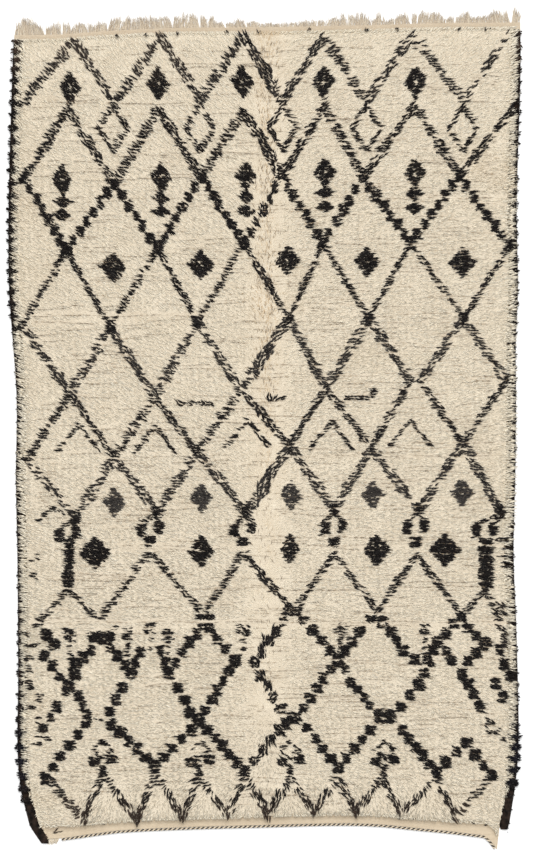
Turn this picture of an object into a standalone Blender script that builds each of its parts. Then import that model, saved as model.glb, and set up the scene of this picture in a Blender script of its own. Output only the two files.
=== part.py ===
"""A Beni Ourain rug: long ivory pile knotted on a wool ground, laid out flat.

Sizes are in metres. The rug rests on z = 0 with its length along Y, its fringed head at +Y and its
twined foot at -Y. Each piece that is woven, wrapped or fitted separately is its own object.
"""

import math
import random
from typing import NamedTuple

import bmesh
import bpy
from mathutils import Vector, noise

GAP = 0.0004  # clear space between neighbouring pieces

PILE_HEIGHT = 0.0185
SHOULDER = 0.80  # height of the pile's rim, as a share of the pile's height
BULGE = 0.008  # how far the pile swells out over what lies beside it
OVERHANG_FLOOR = 0.0072  # underside of that swelling
LUMP_HEIGHT = 0.0016
LUMP_SPACING = 0.17
GROUND_THICKNESS = 0.0032
FOOT_STRIP = 0.028  # flat weave left bare at the foot
FOOT_WALL = 0.011  # length over which the pile rises from the flat weave

FOLD_X = 0.018  # the old fold down the middle of the rug
FOLD_HALF_WIDTH = 0.045
FOLD_DEPTH = 0.0045

SELVEDGE_WIDTH = 0.030
SELVEDGE_HEIGHT = 0.0055
SELVEDGE_TIP_WIDTH = 0.013
LEFT_SELVEDGE_END = -1.449
RIGHT_SELVEDGE_END = -1.400

HEADING_WIDTH = 0.020
HEADING_THICKNESS = 0.0030
STRAND_WIDTH = 0.0095
STRAND_THICKNESS = 0.0024
STRAND_PITCH = 0.0170

TONGUE_START = 0.768  # the tongue of flat weave that runs out at the foot's right corner
TONGUE_END = 0.815
TONGUE_LENGTH = 0.048

CORD_LONG_SIDE = 0.0068
CORD_SHORT_SIDE = 0.0040
CORD_TURN = 0.0164  # length of one full turn of the twist
CORD_STEPS = 4  # sections to a turn
CORD_START_X = -0.716
CORD_END_X = 0.8130
CORD_ROUTE_STEP = 0.002

TUFT_START_X = -0.764
TUFT_WIDTH = 0.007
TUFT_STRANDS = 8
TUFT_STRAND_WIDTH = 0.0066
TUFT_STRAND_THICKNESS = 0.0026

FIELD_COLUMNS = 24
FIELD_ROWS = 34
RIM_LOCKS = 28  # at each end of the pile
LOCK_WIDTH = 0.013
LOCK_THICKNESS = 0.005
SELVEDGE_LOCKS = 34
SEED = 7


class SideRow(NamedTuple):
    """Outer edges of the two side cords at one place along the rug, and how far their tufts stand out."""

    y: float
    left: float
    right: float
    left_tuft: float
    right_tuft: float


class EndRow(NamedTuple):
    """The two ends of the woven cloth at one place across the rug."""

    x: float
    head: float
    foot: float


class FringeRow(NamedTuple):
    """Length of the fringe at one place across the rug."""

    x: float
    length: float


class Parting(NamedTuple):
    """A row where the pile parts: a shallow trough across part of the rug."""

    y: float
    start: float
    end: float
    depth: float


class Lay(NamedTuple):
    """How a lock or strand lies: where its root starts, and its height and size at root, bend and tip."""

    behind: float  # how far its root starts behind the edge it leaves
    root_height: float
    bend_height: float
    tip_height: float
    root_size: float
    bend_size: float
    tip_size: float


HEAD_LOCK = Lay(0.012, 0.0102, 0.0100, 0.0056, 1.00, 1.00, 0.45)
FOOT_LOCK = Lay(0.017, 0.0098, 0.0085, 0.0058, 1.00, 0.90, 0.45)
SIDE_LOCK = Lay(0.010, 0.0028, 0.0022, 0.0010, 0.72, 0.62, 0.34)
WARP_END = Lay(0.006, 0.0015, 0.0011, 0.0005, 1.00, 0.90, 0.40)
LOOSE_END = Lay(0.004, 0.0013, 0.0007, 0.0004, 0.58, 0.52, 0.30)
BEND_SHARE = 0.3  # where along its free length a lock bends
HEADWARD = Vector((0, 1, 0))

SIDES = (
    SideRow(1.450, -0.877, 0.894, 0.008, 0.008),
    SideRow(1.295, -0.884, 0.896, 0.012, 0.010),
    SideRow(1.120, -0.890, 0.892, 0.010, 0.009),
    SideRow(0.910, -0.896, 0.885, 0.009, 0.007),
    SideRow(0.735, -0.899, 0.882, 0.008, 0.007),
    SideRow(0.490, -0.897, 0.887, 0.007, 0.008),
    SideRow(0.315, -0.884, 0.879, 0.008, 0.007),
    SideRow(0.105, -0.870, 0.880, 0.006, 0.006),
    SideRow(-0.175, -0.873, 0.877, 0.006, 0.006),
    SideRow(-0.420, -0.868, 0.871, 0.006, 0.008),
    SideRow(-0.665, -0.866, 0.880, 0.007, 0.007),
    SideRow(-0.910, -0.865, 0.887, 0.007, 0.009),
    SideRow(-1.085, -0.868, 0.889, 0.010, 0.014),
    SideRow(-1.207, -0.863, 0.882, 0.007, 0.015),
    SideRow(-1.295, -0.850, 0.870, 0.005, 0.006),
    SideRow(-1.365, -0.833, 0.859, 0.004, 0.004),
    SideRow(-1.407, -0.812, 0.849, 0.004, 0.004),
    SideRow(-1.470, -0.768, 0.843, 0.004, 0.004),
)

ENDS = (
    EndRow(-0.900, 1.383, -1.439),
    EndRow(-0.770, 1.385, -1.434),
    EndRow(-0.697, 1.387, -1.4290),
    EndRow(-0.613, 1.394, -1.4165),
    EndRow(-0.500, 1.401, -1.4025),
    EndRow(-0.277, 1.410, -1.3920),
    EndRow(-0.025, 1.411, -1.3850),
    EndRow(0.255, 1.417, -1.3780),
    EndRow(0.395, 1.419, -1.3815),
    EndRow(0.535, 1.424, -1.3955),
    EndRow(0.647, 1.426, -1.4060),
    EndRow(0.760, 1.427, -1.4200),
    EndRow(0.900, 1.429, -1.4330),
)

FRINGE = (
    FringeRow(-0.880, 0.058),
    FringeRow(-0.800, 0.050),
    FringeRow(-0.765, 0.028),
    FringeRow(-0.715, 0.050),
    FringeRow(-0.676, 0.030),
    FringeRow(-0.650, 0.048),
    FringeRow(-0.600, 0.022),
    FringeRow(-0.560, 0.045),
    FringeRow(-0.440, 0.045),
    FringeRow(-0.305, 0.054),
    FringeRow(-0.210, 0.046),
    FringeRow(-0.160, 0.020),
    FringeRow(-0.080, 0.030),
    FringeRow(0.000, 0.015),
    FringeRow(0.130, 0.018),
    FringeRow(0.260, 0.034),
    FringeRow(0.340, 0.044),
    FringeRow(0.372, 0.018),
    FringeRow(0.396, 0.050),
    FringeRow(0.430, 0.010),
    FringeRow(0.515, 0.050),
    FringeRow(0.590, 0.043),
    FringeRow(0.640, 0.014),
    FringeRow(0.705, 0.044),
    FringeRow(0.735, 0.020),
    FringeRow(0.820, 0.044),
    FringeRow(0.875, 0.046),
    FringeRow(0.895, 0.036),
)

PARTINGS = (
    Parting(0.812, 0.50, 0.88, 0.0045),
    Parting(0.400, -0.84, -0.20, 0.0040),
    Parting(-0.092, 0.05, 0.80, 0.0040),
    Parting(-0.404, -0.70, 0.86, 0.0045),
    Parting(-0.672, -0.86, 0.86, 0.0050),
)
PARTING_HALF_WIDTH = 0.009


def clear_scene():
    """Start from an empty scene."""
    for item in list(bpy.data.objects):
        bpy.data.objects.remove(item, do_unlink=True)


def new_collection(name, hidden=False):
    """A collection linked to the scene."""
    group = bpy.data.collections.new(name)
    group.hide_render = hidden
    bpy.context.scene.collection.children.link(group)
    return group


def wool(name, colour, roughness):
    """A plain wool material."""
    material = bpy.data.materials.new(name)
    material.use_nodes = True
    shader = material.node_tree.nodes["Principled BSDF"]
    shader.inputs["Base Color"].default_value = (*colour, 1.0)
    shader.inputs["Roughness"].default_value = roughness
    shader.inputs["Metallic"].default_value = 0.0
    return material


def mix(low, high, share):
    """The value a share of the way from low to high."""
    return low + (high - low) * share


def ramp(value, low, high):
    """0 below low, 1 above high, and a soft step between them."""
    share = min(max((value - low) / (high - low), 0.0), 1.0)
    return share * share * (3 - 2 * share)


def read(rows, at, column):
    """The column's value at a place between the rows, on a smooth curve through them."""
    places = [row[0] for row in rows]
    values = [getattr(row, column) for row in rows]
    if places[0] > places[-1]:
        places.reverse()
        values.reverse()
    at = min(max(at, places[0]), places[-1])
    last = len(places) - 2
    k = min(max(sum(place <= at for place in places) - 1, 0), last)
    before, after = max(k - 1, 0), min(k + 2, last + 1)
    step = places[k + 1] - places[k]
    t = (at - places[k]) / step
    rise = (values[k + 1] - values[before]) / (places[k + 1] - places[before]) * step
    fall = (values[after] - values[k]) / (places[after] - places[k]) * step
    square, cube = t * t, t * t * t
    return (
        (2 * cube - 3 * square + 1) * values[k]
        + (cube - 2 * square + t) * rise
        + (3 * square - 2 * cube) * values[k + 1]
        + (cube - square) * fall
    )


def cloth_edge(y, side):
    """Where the cloth meets its side cord."""
    if side < 0:
        return read(SIDES, y, "left") + SELVEDGE_WIDTH
    return read(SIDES, y, "right") - SELVEDGE_WIDTH


def tongue_drop(x):
    """How far the tongue runs out below the foot line."""
    share = min(max((x - TONGUE_START) / (TONGUE_END - TONGUE_START), 0.0), 1.0)
    return TONGUE_LENGTH * share**1.5


def field_plan(u, v):
    """The place on the floor plan of the cloth at u across it and v from its foot to its head."""
    x, y = mix(-0.85, 0.85, u), mix(-1.40, 1.39, v)
    for _ in range(12):
        x = mix(cloth_edge(y, -1), cloth_edge(y, 1), u)
        foot = read(ENDS, x, "foot")
        head = read(ENDS, x, "head") - HEADING_WIDTH - GAP
        y = mix(foot, head, v) - tongue_drop(x) * max(0.0, 1 - v / STRIP_SHARE)
    return x, y


def stations(count, extras):
    """Even stations from 0 to 1 with the extra ones put in, and any even one that crowds them left out."""
    near = 0.45 / count
    even = [k / count for k in range(count + 1)]
    kept = [s for s in even if s in (0.0, 1.0) or all(abs(s - e) > near for e in extras)]
    return sorted(set(kept) | set(extras))


def share_along(y):
    """The share of the cloth's length from its foot, for a place near its middle."""
    foot = read(ENDS, 0.0, "foot")
    return (y - foot) / (read(ENDS, 0.0, "head") - HEADING_WIDTH - foot)


CLOTH_LENGTH = read(ENDS, 0.0, "head") - HEADING_WIDTH - read(ENDS, 0.0, "foot")
STRIP_SHARE = FOOT_STRIP / CLOTH_LENGTH
WALL_SHARE = (FOOT_STRIP + FOOT_WALL) / CLOTH_LENGTH
FOLD_SHARES = [0.482, 0.496, 0.510, 0.524, 0.538]
TONGUE_SHARES = [0.944, 0.958, 0.968, 0.976, 0.983, 0.991]
RIM_SHARE = 0.009
FOOT_RIM_SHARE = 0.019
HEAD_RIM_SHARE = 0.994
ACROSS = stations(FIELD_COLUMNS, [RIM_SHARE, *FOLD_SHARES, *TONGUE_SHARES])
PARTING_SHARES = [
    share_along(row.y) + side * PARTING_HALF_WIDTH / CLOTH_LENGTH
    for row in PARTINGS
    for side in (-1, 0, 1)
]
WALL_SHARES = [STRIP_SHARE, (STRIP_SHARE + WALL_SHARE) / 2, WALL_SHARE]
ALONG = stations(FIELD_ROWS, [*WALL_SHARES, FOOT_RIM_SHARE, *PARTING_SHARES, HEAD_RIM_SHARE])


def pile_top(x, y, u, v):
    """Height of the field's upper surface: the flat weave at the foot, and the lumpy pile above it."""
    weave = GROUND_THICKNESS + 0.0004 * noise.noise(Vector((x / 0.05, y / 0.05, 3.0)))
    lumps = noise.noise(Vector((x / LUMP_SPACING, y / LUMP_SPACING, 0.0)))
    lumps += 0.6 * noise.noise(Vector((x / LUMP_SPACING * 2.3, y / LUMP_SPACING * 2.3, 5.0)))
    height = PILE_HEIGHT + LUMP_HEIGHT * lumps
    fold = max(0.0, 1 - abs(x - FOLD_X) / FOLD_HALF_WIDTH)
    height -= FOLD_DEPTH * fold * fold * (3 - 2 * fold) * mix(0.45, 1.0, ramp(y, -0.9, 0.6))
    for row in PARTINGS:
        from_row = abs(v - share_along(row.y)) * CLOTH_LENGTH
        trough = max(0.0, 1 - from_row / PARTING_HALF_WIDTH)
        inside = ramp(x, row.start, row.start + 0.06) * (1 - ramp(x, row.end - 0.06, row.end))
        height -= row.depth * trough * inside
    to_edge = min(u, 1 - u, 1 - v)
    height *= mix(SHOULDER, 1.0, ramp(to_edge, 0.0, RIM_SHARE))
    return mix(weave, height, ramp(v, STRIP_SHARE, WALL_SHARE))


def resting_slab(name, across, along, top, rim):
    """A body with a shaped top and a flat underside on the floor.

    top(u, v) gives the points of its upper surface at the stations across and along it. rim(point, u, v)
    gives the points below one of the upper surface's edge points, the last of them on the floor.
    """
    bm = bmesh.new()
    station = bm.verts.layers.float_vector.new("station")
    columns, rows = len(across) - 1, len(along) - 1
    grid = bmesh.ops.create_grid(bm, x_segments=columns, y_segments=rows, size=1.0)
    for vert in grid["verts"]:
        u = across[round((vert.co.x + 1) / 2 * columns)]
        v = along[round((vert.co.y + 1) / 2 * rows)]
        vert[station] = (u, v, 0.0)
        vert.co = top(u, v)
    edges = [edge for edge in bm.edges if edge.is_boundary]
    top_edge = {vert[station].to_tuple(5): vert.co.copy() for edge in edges for vert in edge.verts}
    below = {key: rim(point, key[0], key[1]) for key, point in top_edge.items()}
    for level in range(len(next(iter(below.values())))):
        made = bmesh.ops.extrude_edge_only(bm, edges=edges)["geom"]
        for vert in made:
            if isinstance(vert, bmesh.types.BMVert):
                vert.co = below[vert[station].to_tuple(5)][level]
        edges = [edge for edge in made if isinstance(edge, bmesh.types.BMEdge)]
        edges = [edge for edge in edges if edge.is_boundary]
    bmesh.ops.contextual_create(bm, geom=edges)
    bmesh.ops.recalc_face_normals(bm, faces=bm.faces)
    bm.verts.layers.float_vector.remove(station)
    return finish_mesh(name, bm)


def finish_mesh(name, bm):
    """The object that holds a finished mesh."""
    mesh = bpy.data.meshes.new(name)
    bm.to_mesh(mesh)
    bm.free()
    mesh.shade_smooth()
    mesh.set_sharp_from_angle(angle=math.radians(50))
    return bpy.data.objects.new(name, mesh)


def outward(u, v):
    """Direction that leads off the cloth at a station on its edge."""
    return Vector(((u == 1) - (u == 0), (v == 1) - (v == 0), 0.0))


def pile_rim(point, u, v):
    """The swelling edge of the pile, drawn in again above whatever lies beside it."""
    full = ramp(point.z, 0.5 * PILE_HEIGHT, SHOULDER * PILE_HEIGHT)
    reach = outward(u, v) * BULGE * full
    plan = Vector((point.x, point.y, 0.0))
    shoulder = plan + reach + Vector((0, 0, 0.74 * point.z))
    belly = plan + 0.9 * reach + Vector((0, 0, mix(0.50 * point.z, OVERHANG_FLOOR + 0.0018, full)))
    foot_of_pile = plan + Vector((0, 0, mix(0.25 * point.z, OVERHANG_FLOOR - 0.0004, full)))
    return shoulder, belly, foot_of_pile, plan


def thin_rim(rounding):
    """The edge of a thin woven band, rounded by the given amount on its outer side."""

    def rim(point, u, v):
        plan = Vector((point.x, point.y, 0.0))
        return plan + rounding * outward(u, v) + Vector((0, 0, 0.55 * point.z)), plan

    return rim


def flat_profile(name, width, thickness, guides):
    """The flattened four-sided section that strands and locks are drawn with."""
    curve = bpy.data.curves.new(name, "CURVE")
    curve.dimensions = "2D"
    spline = curve.splines.new("POLY")
    spline.points.add(3)
    corners = ((-1, -1), (1, -1), (1, 1), (-1, 1))
    for point, (across, up) in zip(spline.points, corners):
        point.co = (across * width / 2, up * thickness / 2, 0.0, 1.0)
    spline.use_cyclic_u = True
    profile = bpy.data.objects.new(name, curve)
    guides.objects.link(profile)
    return profile


def drawn_along(name, paths, profile, guides):
    """The profile drawn along each path, a list of (point, size, turn) sections, as one closed mesh."""
    curve = bpy.data.curves.new(name, "CURVE")
    curve.dimensions = "3D"
    curve.twist_mode = "Z_UP"
    curve.bevel_mode = "OBJECT"
    curve.bevel_object = profile
    curve.use_fill_caps = True
    for path in paths:
        spline = curve.splines.new("POLY")
        spline.points.add(len(path) - 1)
        for section, (point, size, turn) in zip(spline.points, path):
            section.co = (*point, 1.0)
            section.radius = size
            section.tilt = turn
    source = bpy.data.objects.new(name, curve)
    guides.objects.link(source)
    bpy.context.view_layer.update()
    graph = bpy.context.evaluated_depsgraph_get()
    mesh = bpy.data.meshes.new_from_object(source.evaluated_get(graph))
    bpy.data.objects.remove(source, do_unlink=True)
    bm = bmesh.new()
    bm.from_mesh(mesh)
    bpy.data.meshes.remove(mesh)
    bmesh.ops.remove_doubles(bm, verts=bm.verts, dist=1e-5)
    bmesh.ops.recalc_face_normals(bm, faces=bm.faces)
    return bm


def lock_path(edge, off, free, aside, lay):
    """The sections of a lock that leaves an edge point in a direction, with its tip swept aside."""
    root = edge - lay.behind * off
    bend = edge + BEND_SHARE * (free * off + aside)
    tip = edge + free * off + aside
    up = Vector((0, 0, 1))
    return [
        (root + lay.root_height * up, lay.root_size, 0.0),
        (bend + lay.bend_height * up, lay.bend_size, 0.0),
        (tip + lay.tip_height * up, lay.tip_size, 0.0),
    ]


def fuse(backing, name, paths, profile, guides):
    """Join locks or strands to the backing that holds their roots."""
    locks = finish_mesh(name, drawn_along(name, paths, profile, guides))
    guides.objects.link(locks)
    joined = backing.modifiers.new("fused roots", "BOOLEAN")
    joined.operation = "UNION"
    joined.solver = "EXACT"
    joined.object = locks


def spread(x):
    """How the wool leans across the rug: away from the fold on both sides."""
    return math.tanh((x - FOLD_X) / 0.12)


def pile_field(guides, profile, chance):
    """The knotted field on its ground weave, with its bare strip and tongue at the foot."""

    def top(u, v):
        x, y = field_plan(u, v)
        return Vector((x, y, pile_top(x, y, u, v)))

    field = resting_slab("pile_field", ACROSS, ALONG, top, pile_rim)
    paths = []
    for k in range(RIM_LOCKS):
        u = mix(0.012, 0.988, (k + 0.5) / RIM_LOCKS)
        edge = Vector((*field_plan(u, 1.0), 0.0))
        aside = Vector((0.007 * spread(edge.x) + chance.uniform(-0.003, 0.003), 0, 0))
        paths.append(lock_path(edge, HEADWARD, chance.uniform(0.011, 0.019), aside, HEAD_LOCK))
        edge = Vector((*field_plan(mix(0.035, 0.955, u), STRIP_SHARE), 0.0))
        aside = Vector((0.006 * spread(edge.x) + chance.uniform(-0.003, 0.003), 0, 0))
        paths.append(lock_path(edge, -HEADWARD, chance.uniform(0.009, 0.015), aside, FOOT_LOCK))
    fuse(field, "rim_locks", paths, profile, guides)
    return field


def head_fringe(guides, chance):
    """The narrow woven heading at the head with the fringe of warp ends that leaves it."""
    left, right = read(SIDES, 1.42, "left"), read(SIDES, 1.42, "right")

    def top(u, v):
        x = mix(left, right, u) if u in (0.0, 1.0) else field_plan(u, 1.0)[0]
        y = read(ENDS, x, "head") - HEADING_WIDTH * (1 - v)
        return Vector((x, y, HEADING_THICKNESS + 0.0002 * noise.noise(Vector((x / 0.04, v, 9.0)))))

    heading = resting_slab("head_fringe", ACROSS, (0.0, 0.5, 1.0), top, thin_rim(0.0))
    count = int((right - left) / STRAND_PITCH)
    clump_lean, clump_end = 0.0, 0
    paths = []
    for k in range(count):
        if k == clump_end:
            clump_end = k + chance.randint(3, 6)
            clump_lean = chance.uniform(-0.35, 0.35)
        x = mix(left + 0.006, right - 0.006, (k + 0.5) / count)
        edge = Vector((x, read(ENDS, x, "head"), 0.0))
        length = read(FRINGE, x, "length") * chance.uniform(0.82, 1.0)
        aside = Vector(((0.5 * clump_lean + 0.10 * spread(x)) * min(length, 0.030), 0, 0))
        paths.append(lock_path(edge, HEADWARD, length, aside, WARP_END))
    profile = flat_profile("strand_section", STRAND_WIDTH, STRAND_THICKNESS, guides)
    fuse(heading, "warp_ends", paths, profile, guides)
    return heading


def selvedge(name, side, end, guides, profile, chance):
    """A side cord: warps overcast in dark wool, with dark tufts on its outer edge."""
    column, tuft_column = ("left", "left_tuft") if side < 0 else ("right", "right_tuft")
    places = [field_plan(0.0 if side < 0 else 1.0, v)[1] for v in ALONG]
    places = [end] + [y for y in places if y > end + 0.006]
    across = (0.0, 0.3, 0.7, 1.0)

    def top(u, v):
        y = places[round(v * (len(places) - 1))]
        width = mix(SELVEDGE_TIP_WIDTH, SELVEDGE_WIDTH - GAP, ramp(y, end - 0.002, end + 0.022))
        share = u if side < 0 else 1 - u
        x = read(SIDES, y, column) - side * width * share
        height = SELVEDGE_HEIGHT * mix(0.78, 1.0, math.sin(math.pi * u) ** 0.5)
        return Vector((x, min(y, read(ENDS, x, "head") - HEADING_WIDTH - 2 * GAP), height))

    along = [k / (len(places) - 1) for k in range(len(places))]
    outer_u = 0.0 if side < 0 else 1.0

    def rim(point, u, v):
        plan = Vector((point.x, point.y, 0.0))
        swell = 0.0012 * side if u == outer_u else 0.0
        return plan + Vector((swell, 0, 0.5 * point.z)), plan

    band = resting_slab(name, across, along, top, rim)
    head = places[-1] - 0.02
    paths = []
    for k in range(SELVEDGE_LOCKS):
        y = mix(end + 0.05, head, (k + 0.5) / SELVEDGE_LOCKS) + chance.uniform(-0.012, 0.012)
        edge = Vector((read(SIDES, y, column), y, 0.0))
        reach = read(SIDES, y, tuft_column) * chance.uniform(0.75, 1.1)
        aside = 0.4 * reach * (ramp(y, 0.6, 1.3) - ramp(-y, 0.9, 1.3)) * HEADWARD
        paths.append(lock_path(edge, Vector((side, 0, 0)), reach, aside, SIDE_LOCK))
    fuse(band, f"{name}_tufts", paths, profile, guides)
    return band


def foot_line(x):
    """A point on the foot edge of the cloth, and the direction that leads off it."""
    step = 0.002
    before, here, after = (read(ENDS, at, "foot") - tongue_drop(at) for at in (x - step, x, x + step))
    along = Vector((2 * step, after - before, 0.0)).normalized()
    return Vector((x, here, 0.0)), Vector((along.y, -along.x, 0.0))


def twined_cord(guides):
    """The two-yarn cord twined along the foot edge, its last stretch running down the tongue."""
    radius = math.hypot(CORD_LONG_SIDE, CORD_SHORT_SIDE) / 2
    route, x = [], CORD_START_X
    while x < CORD_END_X:
        edge, off = foot_line(x)
        route.append(edge + (radius + 2.5 * GAP) * off)
        x += CORD_ROUTE_STEP * abs(off.y)
    lengths = [0.0]
    for here, there in zip(route, route[1:]):
        lengths.append(lengths[-1] + (there - here).length)
    count = int(lengths[-1] / CORD_TURN * CORD_STEPS)
    sections, k = [], 0
    for step in range(count + 1):
        target = lengths[-1] * step / count
        while k < len(lengths) - 2 and lengths[k + 1] < target:
            k += 1
        share = (target - lengths[k]) / (lengths[k + 1] - lengths[k])
        point = route[k].lerp(route[k + 1], share)
        sections.append((point + Vector((0, 0, radius * 0.8)), 1.0, step * math.tau / CORD_STEPS))
    profile = flat_profile("cord_section", CORD_LONG_SIDE, CORD_SHORT_SIDE, guides)
    bm = drawn_along("twined_cord", [sections], profile, guides)
    for vert in bm.verts:
        vert.co.z = max(vert.co.z, 0.0)
    return finish_mesh("twined_cord", bm)


def corner_tuft(guides, chance):
    """Loose warp ends that have come out of the cord at the foot's left corner."""

    def top(u, v):
        x = mix(TUFT_START_X, CORD_START_X - 0.006, u)
        edge, _ = foot_line(x)
        return Vector((x, edge.y - 2 * GAP - TUFT_WIDTH * (1 - v), 0.0026))

    root = resting_slab("corner_tuft", (0.0, 0.5, 1.0), (0.0, 1.0), top, thin_rim(0.0))
    paths = []
    for k in range(TUFT_STRANDS):
        share = (k + 0.5) / TUFT_STRANDS
        edge = top(share, 0.0)
        edge.z = 0.0
        length = chance.uniform(0.016, 0.024) * mix(1.0, 0.7, share)
        aside = Vector((mix(0.003, -0.010, share), 0, 0))
        paths.append(lock_path(edge, -HEADWARD, length, aside, LOOSE_END))
    profile = flat_profile("tuft_section", TUFT_STRAND_WIDTH, TUFT_STRAND_THICKNESS, guides)
    fuse(root, "loose_ends", paths, profile, guides)
    return root


def build():
    """Every piece of the rug, each in its place."""
    clear_scene()
    rug = new_collection("beni_ourain_rug")
    guides = new_collection("guides", hidden=True)
    chance = random.Random(SEED)
    ivory = wool("ivory pile", (0.62, 0.53, 0.40), 0.95)
    warp = wool("warp wool", (0.58, 0.47, 0.35), 0.90)
    dark = wool("dark side wool", (0.030, 0.024, 0.020), 0.85)
    cord = wool("twined yarns", (0.24, 0.20, 0.16), 0.85)
    lock = flat_profile("lock_section", LOCK_WIDTH, LOCK_THICKNESS, guides)
    pieces = (
        (pile_field(guides, lock, chance), ivory),
        (head_fringe(guides, chance), warp),
        (selvedge("left_selvedge", -1, LEFT_SELVEDGE_END, guides, lock, chance), dark),
        (selvedge("right_selvedge", 1, RIGHT_SELVEDGE_END, guides, lock, chance), dark),
        (twined_cord(guides), cord),
        (corner_tuft(guides, chance), warp),
    )
    for piece, material in pieces:
        rug.objects.link(piece)
        piece.data.materials.append(material)
    for guide in guides.objects:
        guide.hide_render = True
        guide.display_type = "WIRE"


build()
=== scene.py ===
# %% [markdown]
# # A Beni Ourain rug
#
# The rug is hand-knotted: rows of long, loose wool tufts stand on a flat wool ground, so close that they
# lie over one another like fur. Dark knots among the ivory ones draw a lattice of lozenges. This notebook
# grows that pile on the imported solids, tuft by tuft, and then adds the wrapped side cords, the fringe of
# warp ends at the head and the twined cord at the foot.

import math
from typing import NamedTuple

import bmesh
import bpy
import numpy as np
from mathutils.bvhtree import BVHTree
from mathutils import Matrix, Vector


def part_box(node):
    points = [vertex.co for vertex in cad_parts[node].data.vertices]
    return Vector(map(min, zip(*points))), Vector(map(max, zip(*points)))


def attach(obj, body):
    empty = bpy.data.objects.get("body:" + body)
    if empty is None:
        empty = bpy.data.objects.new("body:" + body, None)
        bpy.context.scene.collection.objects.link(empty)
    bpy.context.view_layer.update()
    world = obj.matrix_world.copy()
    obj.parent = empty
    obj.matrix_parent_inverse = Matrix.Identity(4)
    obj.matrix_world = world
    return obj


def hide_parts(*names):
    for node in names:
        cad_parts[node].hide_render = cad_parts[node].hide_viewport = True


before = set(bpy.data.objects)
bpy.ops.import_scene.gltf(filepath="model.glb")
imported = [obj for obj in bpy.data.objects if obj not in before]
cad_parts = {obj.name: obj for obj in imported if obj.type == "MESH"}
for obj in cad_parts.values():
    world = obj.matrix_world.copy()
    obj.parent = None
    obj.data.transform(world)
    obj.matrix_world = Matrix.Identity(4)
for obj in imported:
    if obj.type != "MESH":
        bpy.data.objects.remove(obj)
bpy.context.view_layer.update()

MM = 0.001
chance = np.random.default_rng(11)  # every draw in the notebook comes from here, in order
print("solids:", ", ".join(sorted(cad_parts)))

# %% [markdown]
# ## Node trees written as expressions
#
# Materials and Geometry Nodes are both trees of nodes. A small class that stands for one socket lets their
# arithmetic be written as Python arithmetic, and one function makes every other node.


# %% Values in a node tree
def find(sockets, key):
    """A socket by its place, its identifier or its name."""
    if isinstance(key, int):
        return sockets[key]
    return next(socket for socket in sockets if key in (socket.identifier, socket.name))


def node(tree, kind, inputs=None, output=0, **settings):
    """Add a node, set it up, feed its sockets with values or links, and give back one of its outputs."""
    made = tree.nodes.new(kind)
    for name, value in settings.items():
        setattr(made, name, value)
    for key, value in (inputs or {}).items():
        socket = find(made.inputs, key)
        if isinstance(value, Value):
            tree.links.new(value.socket, socket)
        else:
            socket.default_value = value
    return Value(tree, find(made.outputs, output))


class Value:
    """One socket of a node tree. Sums and products of values add the Math nodes that work them out."""

    def __init__(self, tree, socket):
        self.tree = tree
        self.socket = socket

    def maths(self, operation, *values):
        return node(self.tree, "ShaderNodeMath", dict(enumerate(values)), operation=operation)

    def __add__(self, other):
        return self.maths("ADD", self, other)

    def __sub__(self, other):
        return self.maths("SUBTRACT", self, other)

    def __rsub__(self, other):
        return self.maths("SUBTRACT", other, self)

    def __mul__(self, other):
        return self.maths("MULTIPLY", self, other)

    def __truediv__(self, other):
        return self.maths("DIVIDE", self, other)

    __radd__ = __add__
    __rmul__ = __mul__

    def wave(self, pitch):
        """A sine that comes back after every pitch."""
        turns = self * (2 * math.pi / pitch)
        return turns.maths("SINE", turns)

    def output(self, name):
        """Another output of the same node."""
        return Value(self.tree, find(self.socket.node.outputs, name))


def vector(tree, x, y, z):
    """Three values joined into a vector."""
    return node(tree, "ShaderNodeCombineXYZ", {"X": x, "Y": y, "Z": z})


def parts(whole):
    """The three values of a vector."""
    x = node(whole.tree, "ShaderNodeSeparateXYZ", {"Vector": whole}, "X")
    return x, x.output("Y"), x.output("Z")


def vector_maths(tree, operation, one, other):
    """Two vectors added, subtracted or multiplied, part by part."""
    return node(tree, "ShaderNodeVectorMath", {0: one, 1: other}, operation=operation)


def noise(tree, place, scale, detail=2.0, output="Fac"):
    """Smooth noise from 0 to 1 at some scale, in bumps to the metre."""
    return node(tree, "ShaderNodeTexNoise", {"Vector": place, "Scale": scale, "Detail": detail}, output)


print("helpers ready")

# %% [markdown]
# ## The rug's outline and height, read from the solids
#
# Nothing is fitted by eye: the edges of the cloth come from the flat underside of its solid, and the pile's
# height from rays dropped on its top. Every knot then has a place u across the cloth and v along it.


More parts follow.
